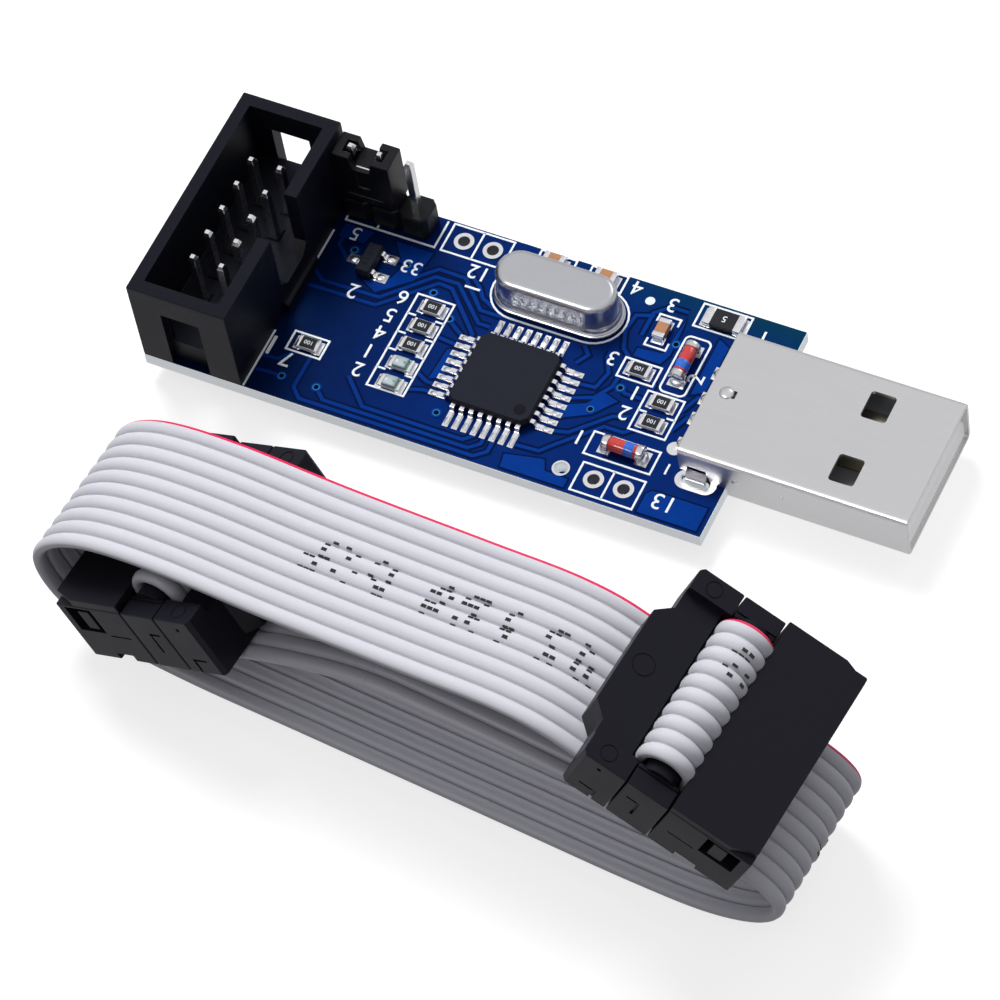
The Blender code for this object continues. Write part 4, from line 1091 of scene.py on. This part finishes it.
def build_resistors():
    for number, centre in enumerate(RESISTORS, start=1):
        body, ends = chip_shapes(1.85, 1.1, 0.48, 0.32)
        film = soften(box((-0.62, -0.51, 0.46), (0.62, 0.51, 0.52)), 0.025)
        code = numeral("100", (0.44, 0.18), 0.38, math.pi, 0.515, 0.53)
        parts = [(body, "ceramic"), (film, "film"), (code, "silk"), *ends]
        set_down(f"resistor_{number}_chip", parts, centre, 0.0, f"resistor_{number}")


def set_down(name, parts, centre, turn, node):
    made = [(moved(shape, centre, turn), key) for shape, key in parts]
    add_piece(name, made, "board", node)


def build_leds():
    for number, centre in enumerate(LEDS, start=1):
        body, ends = chip_shapes(1.9, 1.1, 0.38, 0.33)
        lens = bmesh.new()
        levels = ((0.6, 0.52, 0.36), (0.57, 0.49, 0.6), (0.48, 0.42, 0.68))
        add_stack(lens, [([(-a, -b), (a, -b), (a, b), (-a, b)], z) for a, b, z in levels])
        soften(lens, 0.04)
        green = bmesh.new()
        for x, y, top in ((0.6, -0.38, 0.43), (0.6, 0.32, 0.43), (0.34, -0.02, 0.695)):
            add_box(green, (x - 0.1, y - 0.07, 0.35), (x + 0.12, y + 0.09, top))
        chip = box((-0.42, -0.2, 0.6), (-0.16, 0.08, 0.692))
        parts = [(body, "ceramic"), (lens, "lens"), (green, "green"), (chip, "mark"), *ends]
        set_down(f"led_{number}_lamp", parts, centre, 0.0, f"led_{number}")


def build_capacitors():
    for number, (centre, turn) in enumerate(CAPACITORS, start=1):
        body, ends = chip_shapes(1.8, 0.95, 0.8, 0.42)
        parts = [(body, "brown"), *ends]
        set_down(f"capacitor_{number}_chip", parts, centre, turn, f"capacitor_{number}")


def build_fuse():
    body, ends = chip_shapes(3.2, 1.6, 0.6, 0.62)
    code = numeral("5", (0.2, 0.28), 0.6, math.pi, 0.6, 0.612)
    parts = [(body, "film"), (code, "silk"), *ends]
    set_down("fuse_chip", parts, FUSE, 0.0, "fuse")


def build_diodes():
    """Glass diodes with a blue band at one end, between metal caps and mounds of solder."""
    for number, (centre, turn) in enumerate(DIODES, start=1):
        glass = rod(((-1.2, 0.55), (-1.1, 0.59), (1.1, 0.59), (1.2, 0.55)))
        band = rod(((-0.95, 0.598), (-0.93, 0.606), (-0.17, 0.606), (-0.15, 0.598)))
        caps, pads, solder = (bmesh.new() for _ in range(3))
        for side in (-1, 1):
            add_all(caps, rod([(side * x, r) for x, r in
                               ((1.16, 0.59), (1.2, 0.66), (1.28, 0.68), (1.6, 0.68), (1.7, 0.63),
                                (1.75, 0.5))]))
            reach = sorted((side * 1.05, side * 2.1))
            add_box(pads, (reach[0], -0.7, MASK_TOP), (reach[1], 0.7, PAD_TOP))
            add_all(solder, moved(solder_drop(0.5, 0.64, 0.42), (side * 1.56, 0.0)))
        turned(solder, Matrix.Translation((0, 0, PAD_TOP)))
        parts = [(glass, "red_glass"), (band, "blue_band"), (caps, "cap_metal"), (pads, "lead"),
                 (solder, "solder")]
        set_down(f"diode_{number}_glass", parts, centre, turn, f"diode_{number}")


def rod(profile, height=0.73, sides=28):
    """A round bar along x with its axis at a height: (distance, radius) pairs."""
    shape = bmesh.new()
    add_loft(shape, [[(x, r * math.cos(a), height + r * math.sin(a))
                      for a in (2 * math.pi * i / sides for i in range(sides))] for x, r in profile])
    return shape


# ---------------------------------------------------------------- USB plug

def plug_outline(inset, radius):
    half = PLUG_WIDTH / 2
    return rounded((PLUG_MIDDLE - half + inset, PLUG_BOTTOM + inset),
                   (PLUG_MIDDLE + half - inset, PLUG_TOP - inset), radius)


def build_plug():
    shell = soften(prism(plug_outline(0.0, 0.55), PLUG_START, PLUG_END, "x"), 0.07, 1, 60)
    inside = prism(plug_outline(PLUG_WALL, 0.26), PLUG_START - 1, PLUG_END + 1, "x")
    room = prism([(PLUG_START - 1, -3), (48.22, -3), (48.22, -0.25), (48.0, 0.04), (46.9, 0.04),
                  (46.7, 0.75), (PLUG_START - 1, 0.75)], 3, 19, "y")
    windows = bmesh.new()
    for side in (-1, 1):
        middle = PLUG_MIDDLE + 3.1 * side
        add_prism(windows, rounded((56.05, middle - 1.27), (58.15, middle + 1.27), 0.28), -3, 5)
    lance = prism(rounded((45.95, 10.62), (46.5, 11.36), 0.1), 2.5, 5)
    seam = box((48, PLUG_MIDDLE - 0.03, -1.5), (64, PLUG_MIDDLE + 0.03, -1.08))
    shell = carve(shell, inside, room, windows, lance, seam)
    legs = bmesh.new()
    for side in (-1, 1):
        add_all(legs, plug_leg(side))
    add_all(shell, soften(legs, 0.05, 1, 50))
    dome = bmesh.new()
    foot = PLUG_TOP - 0.05
    add_turned(dome, PLUG_DIMPLE, [(0.6 * math.cos(a), foot + 0.3 * math.sin(a))
                                   for a in (math.pi / 2 * i / 5.2 for i in range(6))])
    add_all(shell, dome)
    for side in (-1, 1):
        for x, radius in ((49.0, 0.3), (52.85, 0.18)):
            bump = solder_drop(radius, radius, 0.08)
            spin = Matrix.Rotation(math.pi / 2 * (-side), 4, "X")
            spot = Matrix.Translation((x, PLUG_MIDDLE + side * PLUG_WIDTH / 2, 1.24))
            add_all(shell, turned(bump, spot @ spin))
    add_piece("usb_plug_shell", [(shell, "steel")], "board", "usb_shell", smooth=50)
    dress_node("usb_tongue", "tongue")
    for number in range(1, 5):
        dress_node(f"usb_contact_{number}", "contact")


def plug_leg(side):
    """A tab that leaves the side wall, bends out and goes down through its slot."""
    path = [(5.84, 1.5), (5.84, 1.05), (5.95, 0.8), (6.22, 0.55), (6.34, 0.3), (6.34, -2.3)]
    leg = bmesh.new()
    path_strip(leg, [(side * a, b) for a, b in path], 0.32, 44.9, 46.6)
    lay = Matrix(((0, 0, 1, 0), (1, 0, 0, PLUG_MIDDLE), (0, 1, 0, 0), (0, 0, 0, 1)))
    return turned(leg, lay)


# ---------------------------------------------------------------- ribbon

RIBBON_COURSE = (
    (47.8, 17.6), (40.0, 17.0), (28.0, 16.0), (18.5, 15.6), (12.0, 14.4), (8.0, 12.0), (6.2, 8.6),
    (7.4, 4.6), (11.4, 1.5), (18.5, 0.5), (28.0, 0.5), (38.0, 0.5), (48.0, 0.5), (57.0, 0.5), (63.6, 1.1),
    (68.2, 3.2), (69.8, 6.2), (67.4, 8.8), (61.5, 10.5), (53.0, 11.7), (43.0, 12.3), (35.0, 12.1),
)
FREE_END = 9.0                       # the ribbon bends over this length next to each socket
FIRST_PASS = 5.275                   # where the ribbon runs up behind a socket's cover
SECOND_PASS = 9.0                    # and down again in front of it
WRAP_HEIGHT = 6.0
RED_FROM = 6.0                       # the outer edge of the far conductor is red
CONDUCTOR_REACH = 0.59               # where a conductor's round side meets the flat web


def smooth_course(points, first_slope, last_slope, steps):
    slopes = [Vector(first_slope)]
    for before, after in zip(points, points[2:]):
        slopes.append((Vector(after) - Vector(before)) / 2)
    slopes.append(Vector(last_slope))
    course = []
    for i in range(len(points) - 1):
        for step in range(steps):
            s = step / steps
            weights = (2 * s**3 - 3 * s**2 + 1, s**3 - 2 * s**2 + s, -2 * s**3 + 3 * s**2, s**3 - s**2)
            knots = (Vector(points[i]), slopes[i], Vector(points[i + 1]), slopes[i + 1])
            course.append(sum((w * k for w, k in zip(weights, knots)), Vector((0.0, 0.0))))
    course.append(Vector(points[-1]))
    return course


def mating_direction(letter):
    drop = CABLE_DROP[letter]
    return Vector((SOCKET_SIDE[letter] * math.cos(drop), -math.sin(drop)))


def thick_direction(letter):
    drop = CABLE_DROP[letter]
    return Vector((SOCKET_SIDE[letter] * math.sin(drop), math.cos(drop)))


def full_course():
    """The ribbon's middle line from one socket's hinge to the other's, in the cable's plane."""
    reach = 5.0
    points = [CABLE_HINGE["a"], *RIBBON_COURSE, CABLE_HINGE["b"]]
    return smooth_course(points, -reach * mating_direction("a"), reach * mating_direction("b"), 8)


def inner_course(letter):
    """The ribbon inside a socket: in, up behind the cover, over it and down into the body."""
    corner = 0.9
    radius = (SECOND_PASS - FIRST_PASS) / 2
    points = [(1.2, 0.0), (2.8, 0.0)]
    points += arc((FIRST_PASS - corner, corner), corner, -math.pi / 2, 0.0, 6)
    points += [(FIRST_PASS, 2.6), (FIRST_PASS, 4.4)]
    points += arc(((FIRST_PASS + SECOND_PASS) / 2, WRAP_HEIGHT), radius, math.pi, 0.0, 20)
    points.append((SECOND_PASS, 0.9))
    origin = Vector(CABLE_HINGE[letter])
    return [origin + mating_direction(letter) * m + thick_direction(letter) * t for m, t in points]


def split_course(course):
    """Indices where the free ends begin, measured along the ribbon from each hinge."""
    lengths = course_lengths(course)
    first = next(i for i, s in enumerate(lengths) if s > FREE_END)
    last = next(i for i, s in enumerate(lengths) if s > lengths[-1] - FREE_END) - 1
    return first, last


def ribbon_ring(here, along):
    """Cross-section of ten round conductors side by side, square to the ribbon's course."""
    across = Vector((-along.y, along.x))
    samples = []
    for i in range(CONDUCTORS):
        middle = (i - (CONDUCTORS - 1) / 2) * CONDUCTOR_PITCH
        for step in range(9):
            offset = -CONDUCTOR_REACH * math.cos(math.pi * step / 8)
            height = RIBBON_HALF_THICK * math.sqrt(1 - (offset / CONDUCTOR_HALF_WIDTH) ** 2)
            samples.append((middle + offset, height))
    top = [(y, h) for y, h in samples]
    bottom = [(y, -h) for y, h in reversed(samples)]
    return [(here.x + across.x * h, y, here.y + across.y * h) for y, h in top + bottom]


def ribbon_shape(course):
    rings = []
    for i, here in enumerate(course):
        before = course[max(i - 1, 0)]
        after = course[min(i + 1, len(course) - 1)]
        rings.append(ribbon_ring(here, (after - before).normalized()))
    shape = bmesh.new()
    add_loft(shape, rings)
    return shape


def build_ribbon():
    course = full_course()
    first, last = split_course(course)
    span = ribbon_piece("ribbon_span", course[first:last + 1])
    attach(span, "cable")
    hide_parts("ribbon_middle")
    for letter, outside in (("a", course[first::-1]), ("b", course[last:])):
        tail = ribbon_piece(f"ribbon_tail_{letter}", outside + inner_course(letter))
        bend_tail(tail)
        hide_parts(f"ribbon_end_{letter}")
    build_ink(course, first)


def bend_tail(piece):
    """Bake a piece's placement into its mesh."""
    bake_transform(piece)


def ribbon_piece(name, course):
    parts = [(ribbon_shape(course), "vinyl"), (bmesh.new(), "red_vinyl"), (bmesh.new(), "web")]
    thing = loose_piece(name, parts, "cable", smooth=62)
    back = PLACES["cable"].inverted()
    for face in thing.data.polygons:
        y = (back @ face.center).y
        from_web = abs((y / CONDUCTOR_PITCH + 0.5) % 1.0 - 0.5) * CONDUCTOR_PITCH
        if y > RED_FROM:
            face.material_index = 1
        # faces in the groove between two conductors take painted shade
        elif from_web < 0.01 and len(face.vertices) == 4:
            face.material_index = 2
    return thing


def build_ink(course, first):
    """Printed dashes on the outside of the ribbon: a seeded scatter that spells nothing."""
    rng = random.Random(11)
    lengths = course_lengths(course)
    bend = lengths[max(range(len(course)), key=lambda i: course[i].x)]
    marks = []
    for start, groups, rows, top in ((0.3, 2, 7, 1.5), (7.4, 3, 7, 1.5), (18.0, 3, 7, 1.5),
                                     (bend - 1.5, 1, 5, 1.2)):
        marks += dash_group(rng, start, groups, rows, top)
    free, bent = (bmesh.new() for _ in range(2))
    tail = course[first::-1] + inner_course("a")
    tail_lengths = course_lengths(tail)
    hinge = tail_lengths[first]
    for spot, y in marks:
        if spot > FREE_END + 0.6:
            add_dash(free, course, lengths, spot, y, 1)
        elif 0.2 < spot < FREE_END - 0.6:
            add_dash(bent, tail, tail_lengths, hinge - spot, y, -1)
    for spot, y in dash_group(rng, hinge + 13.4, 1, 6, 4.2):
        add_dash(bent, tail, tail_lengths, spot, y, -1)
    add_piece("ribbon_ink", [(free, "ink")], "cable")
    tail_ink = loose_piece("ribbon_tail_ink", [(bent, "ink")], "cable")
    bend_tail(tail_ink)


def course_lengths(course):
    lengths = [0.0]
    for before, after in zip(course, course[1:]):
        lengths.append(lengths[-1] + (after - before).length)
    return lengths


def dash_group(rng, start, groups, rows, top):
    """Places of dashes in groups of four columns, as (distance along, across) pairs."""
    marks = []
    for group in range(groups):
        for column in range(4):
            for row in range(rows):
                if rng.random() < 0.42:
                    marks.append((start + group * 2.7 + column * 0.52, top - row * 0.46))
    return marks


def add_dash(shape, course, lengths, spot, y, side):
    i = next(k for k, s in enumerate(lengths) if s > spot)
    share = (spot - lengths[i - 1]) / (lengths[i] - lengths[i - 1])
    here = course[i - 1].lerp(course[i], share)
    along = (course[i] - course[i - 1]).normalized()
    outward = Vector((along.y, -along.x)) * side
    nearest = (round(y / CONDUCTOR_PITCH - 0.5) + 0.5) * CONDUCTOR_PITCH
    rise = RIBBON_HALF_THICK * math.sqrt(max(1 - ((y - nearest) / CONDUCTOR_HALF_WIDTH) ** 2, 0.1))
    corner = here + outward * rise
    dash = box((-0.22, -0.13, -0.08), (0.22, 0.13, 0.018))
    axes = Matrix(((along.x, 0, outward.x, corner.x), (0, 1, 0, y), (along.y, 0, outward.y, corner.y),
                   (0, 0, 0, 1)))
    add_all(shape, turned(dash, axes))


# ---------------------------------------------------------------- sockets

SOCKET_HALF = 8.65
SOCKET_LOW = 0.6
SOCKET_HIGH = 6.6
SOCKET_MIDDLE = 3.6
SLOT_HALF = 6.7
PLATE_HEIGHT = 5.7                   # top of the plate between the strain relief's ears
HUMP_FOOT = 5.2
HUMP_EDGE = 4.1


def build_socket(letter):
    socket = f"socket_{letter}"
    shapes = {"strain_relief": relief_shape, "cover": cover_shape, "body": socket_body_shape}
    for part, shape in shapes.items():
        add_piece(f"{socket}_{part.split('_')[-1]}_moulding", [(shape(), "socket")], socket,
                  f"{socket}_{part}", smooth=30)
    for row in (1, 2):
        dress_node(f"{socket}_contacts_{row}", "lead")


def bar(start, end, low, high, reach):
    return box((start, -reach, low), (end, reach, high))


def mould_ring(m, l, t, radius):
    """A shallow round groove, as left by an ejector pin."""
    shape = bmesh.new()
    add_ring(shape, (m, l), radius - 0.05, radius + 0.05, t - 0.07, t + 0.1, 28)
    return shape


def relief_shape():
    """Strain relief: an ear at each end of a lower plate, whose outer corners are cut off."""
    ears = soften(bar(1.6, 5.3, SOCKET_LOW, SOCKET_HIGH, SOCKET_HALF), 0.12)
    waist = bar(-1, 6.5, PLATE_HEIGHT, SOCKET_HIGH + 1, SLOT_HALF)
    slot = bar(4.7, 6.5, SOCKET_LOW - 1, SOCKET_HIGH + 1, SLOT_HALF)
    cuts = [waist, slot]
    for end in (-1, 1):
        cuts.append(prism([(1.4, end * 8.8), (2.1, end * 8.8), (1.4, end * 8.1)], -1, 8))
    ears = carve(ears, *cuts)
    outline = [(4.65, -HUMP_FOOT), (1.6, -HUMP_FOOT), (0.4, -HUMP_EDGE), (0.4, HUMP_EDGE), (1.6, HUMP_FOOT),
               (4.65, HUMP_FOOT)]
    hump = soften(prism(outline, 1.4, PLATE_HEIGHT + 0.02), 0.1)
    relief = weld(ears, hump)
    marks = bmesh.new()
    add_all(marks, mould_ring(1.95, 0.0, PLATE_HEIGHT + 0.02, 0.85))
    skin = (SOCKET_HALF - 0.25, SOCKET_HALF + 1)
    for end in (-1, 1):
        add_all(marks, mould_ring(3.25, end * 7.6, SOCKET_HIGH, 0.62))
        low, high = sorted((end * skin[0], end * skin[1]))
        add_prism(marks, circle((3.3, 5.6), 0.18, 16), low, high, "y")
    add_box_pair(marks, (3.9, 4.15), skin, (SOCKET_LOW - 1, 2.0))
    add_box_pair(marks, (2.7, 4.15), skin, (2.0, 2.2))
    return soften(carve(relief, marks), 0.035, 1, 50)


def cover_shape():
    """Cover: a rounded saddle that the ribbon wraps over, with an ear at each end."""
    middle = (FIRST_PASS + SECOND_PASS) / 2
    radius = (SECOND_PASS - FIRST_PASS) / 2 - RIBBON_HALF_THICK - 0.1
    outline = [(middle - radius, SOCKET_LOW), (middle + radius, SOCKET_LOW)]
    outline += arc((middle, WRAP_HEIGHT), radius, 0.0, math.pi, 12)
    saddle = prism(outline, -SLOT_HALF - 0.3, SLOT_HALF + 0.3, "y")
    ears = bmesh.new()
    add_box_pair(ears, (5.4, 8.85), (SLOT_HALF + 0.06, SOCKET_HALF), (SOCKET_LOW, SOCKET_HIGH))
    soften(ears, 0.12)
    cover = weld(saddle, ears)
    marks = bmesh.new()
    skin = (SOCKET_HALF - 0.2, SOCKET_HALF + 1)
    add_box_pair(marks, (6.9, 7.1), skin, (2.4, 4.4))
    add_box_pair(marks, (6.0, 7.1), skin, (4.4, 4.6))
    add_box_pair(marks, (5.3, 8.9), (7.1, 7.25), (SOCKET_HIGH - 0.15, SOCKET_HIGH + 1))
    return soften(carve(cover, marks), 0.035, 1, 50)


def socket_body_shape():
    """Body with ten wells in its mating face, a raised plate, a key and latch openings."""
    body = soften(bar(8.95, 15.9, SOCKET_LOW, SOCKET_HIGH, SOCKET_HALF), 0.14)
    side = SOCKET_HALF - 0.05
    plate_outline = [(8.95, -side), (13.9, -side), (15.85, -side + 0.7), (15.85, side - 0.7),
                     (13.9, side), (8.95, side)]
    plate = soften(prism(plate_outline, SOCKET_HIGH - 0.3, SOCKET_HIGH + 0.7), 0.1)
    key = soften(box((10.55, -2.0, SOCKET_LOW - 0.8), (15.85, 2.0, SOCKET_LOW + 0.3)), 0.12)
    cuts = bar(7.9, 9.55, SOCKET_LOW - 1, SOCKET_HIGH + 0.05, SLOT_HALF)
    wells = [(PITCH * (i - 2), SOCKET_MIDDLE + row * PITCH / 2) for row in (-1, 1) for i in range(5)]
    for l, t in wells:
        add_box(cuts, (9.75, l - 0.5, t - 0.5), (17, l + 0.5, t + 0.5))
    latches = bmesh.new()
    outside = SOCKET_HALF + 1
    add_box_pair(latches, (12.3, 15.1), (7.3, outside), (3.7, SOCKET_HIGH - 0.25))
    add_box_pair(latches, (11.2, 13.0), (SOCKET_HALF - 0.6, outside), (SOCKET_LOW - 1, 1.3))
    add_box_pair(latches, (9.8, 12.0), (SOCKET_HALF - 0.15, outside), (3.4, 3.55))
    chamfers = bmesh.new()
    for spot in wells:
        add_loft(chamfers, [[(m, l, t) for l, t in square(spot, reach)]
                            for m, reach in ((15.5, 0.45), (16.1, 0.95))])
    tabs = bmesh.new()
    add_box_pair(tabs, (12.9, 14.1), (7.45, 8.55), (3.9, 5.9))
    soften(tabs, 0.08)
    solid = carve(weld(body, plate, key), cuts, latches, chamfers)
    soften(solid, 0.035, 1, 50)
    add_all(solid, tabs)
    return solid


# ---------------------------------------------------------------- stage

CAMERA_PLACE = (167.22, -197.53, 343.68)      # from the board's corner, at the height of its top
CAMERA_RIGHT = (0.89804, 0.42578, -0.11066)
CAMERA_DOWN = (0.29869, -0.77481, -0.55718)
CAMERA_LENS = 196.25


def build_camera(place):
    data = bpy.data.cameras.new("camera")
    data.lens = CAMERA_LENS
    data.sensor_width = 36
    data.clip_end = 20
    camera = link(bpy.data.objects.new("camera", data))
    right = Vector(CAMERA_RIGHT).normalized()
    up = -Vector(CAMERA_DOWN).normalized()
    back = right.cross(up)
    turn = Matrix((right, up, back)).transposed().to_4x4()
    camera.matrix_world = Matrix.Translation(place @ Vector(CAMERA_PLACE)) @ turn
    bpy.context.scene.camera = camera


def add_lamp(name, place, target, size, power):
    data = bpy.data.lights.new(name, "AREA")
    data.shape = "RECTANGLE"
    data.size, data.size_y = size
    data.energy = power
    lamp = link(bpy.data.objects.new(name, data))
    lamp.location = place
    lamp.rotation_euler = (Vector(target) - Vector(place)).to_track_quat("-Z", "Y").to_euler()
    return lamp


def build_stage():
    """Paper floor: white to the camera and in reflections, and dim for the light it throws back."""
    shape = bmesh.new()
    add_box(shape, (-4.0, -4.0, -0.02), (4.0, 4.0, -0.0002))
    mesh = bpy.data.meshes.new("floor")
    shape.to_mesh(mesh)
    shape.free()
    floor = link(bpy.data.objects.new("floor", mesh))
    material, tree, shader = start_material("floor_paper")
    by_eye = is_ray(tree, "Camera")
    paper = add_mix(tree, add_noise(tree, 40.0), (0.34, 0.34, 0.345), (0.37, 0.37, 0.375))
    mirrored = add_mix(tree, is_ray(tree, "Glossy"), (0.02, 0.02, 0.02), (0.66, 0.66, 0.67))
    set_inputs(tree, shader, Base_Color=add_mix(tree, by_eye, (0.08, 0.08, 0.085), paper),
               Roughness=0.9, Specular_IOR_Level=0.1, Emission_Strength=1.0,
               Emission_Color=add_mix(tree, by_eye, mirrored, (0.74, 0.74, 0.74)))
    mesh.materials.append(material)


def build_world():
    """Bright overhead in reflections, soft and dim for the light that falls on the object."""
    world = bpy.data.worlds.new("studio")
    bpy.context.scene.world = world
    world.use_nodes = True
    tree = world.node_tree
    direction = add_node(tree, "ShaderNodeTexCoord").outputs["Generated"]
    height = add_range(tree, axis_of(tree, direction, "Z"), 0.0, 1.0, 0.0, 0.85)
    light = add_mix(tree, height, (0.06, 0.06, 0.065), (0.5, 0.5, 0.52))
    mirrored = add_mix(tree, height, (0.5, 0.5, 0.52), (0.88, 0.88, 0.9))
    shade = add_mix(tree, is_ray(tree, "Glossy"), light, mirrored)
    set_inputs(tree, tree.nodes["Background"], Strength=1.0,
               Color=add_mix(tree, is_ray(tree, "Camera"), shade, (1.0, 1.0, 1.0)))


def build_lights():
    key = add_lamp("key", (-0.35, 0.35, 0.8), (0.0, 0.0, 0.0), (0.35, 0.35), 8.5)
    key.visible_glossy = False
    edge = add_lamp("edge", (-0.3, -0.73, 0.77), (0.0, 0.0, 0.0), (0.6, 0.12), 4.0)
    edge.visible_diffuse = False
    add_lamp("rim", (0.2, 0.75, 0.5), (0.0, 0.0, 0.0), (0.5, 0.25), 0.9)
    view = bpy.context.scene.view_settings
    view.view_transform = "Standard"
    view.look = "None"
    view.exposure = 0.0


# ---------------------------------------------------------------- whole scene


def main():
    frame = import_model()
    NODES.update(frame["nodes"])
    PLACES.update(cable_frames(frame["joints"]))
    PLACES["board"] = PLACES["jumper_cap"] = board_frame()
    FINISHES.update(make_materials())
    for build in (build_board, build_tracks, build_print, build_pads, build_header, build_jumper,
                  build_jumper_base, dress_pins, build_controller, build_regulator, build_crystal,
                  build_resistors, build_leds, build_capacitors, build_fuse, build_diodes, build_plug,
                  build_ribbon):
        build()
    for letter in "ab":
        build_socket(letter)
    build_stage()
    build_world()
    build_lights()
    build_camera(PLACES["board"])


main()
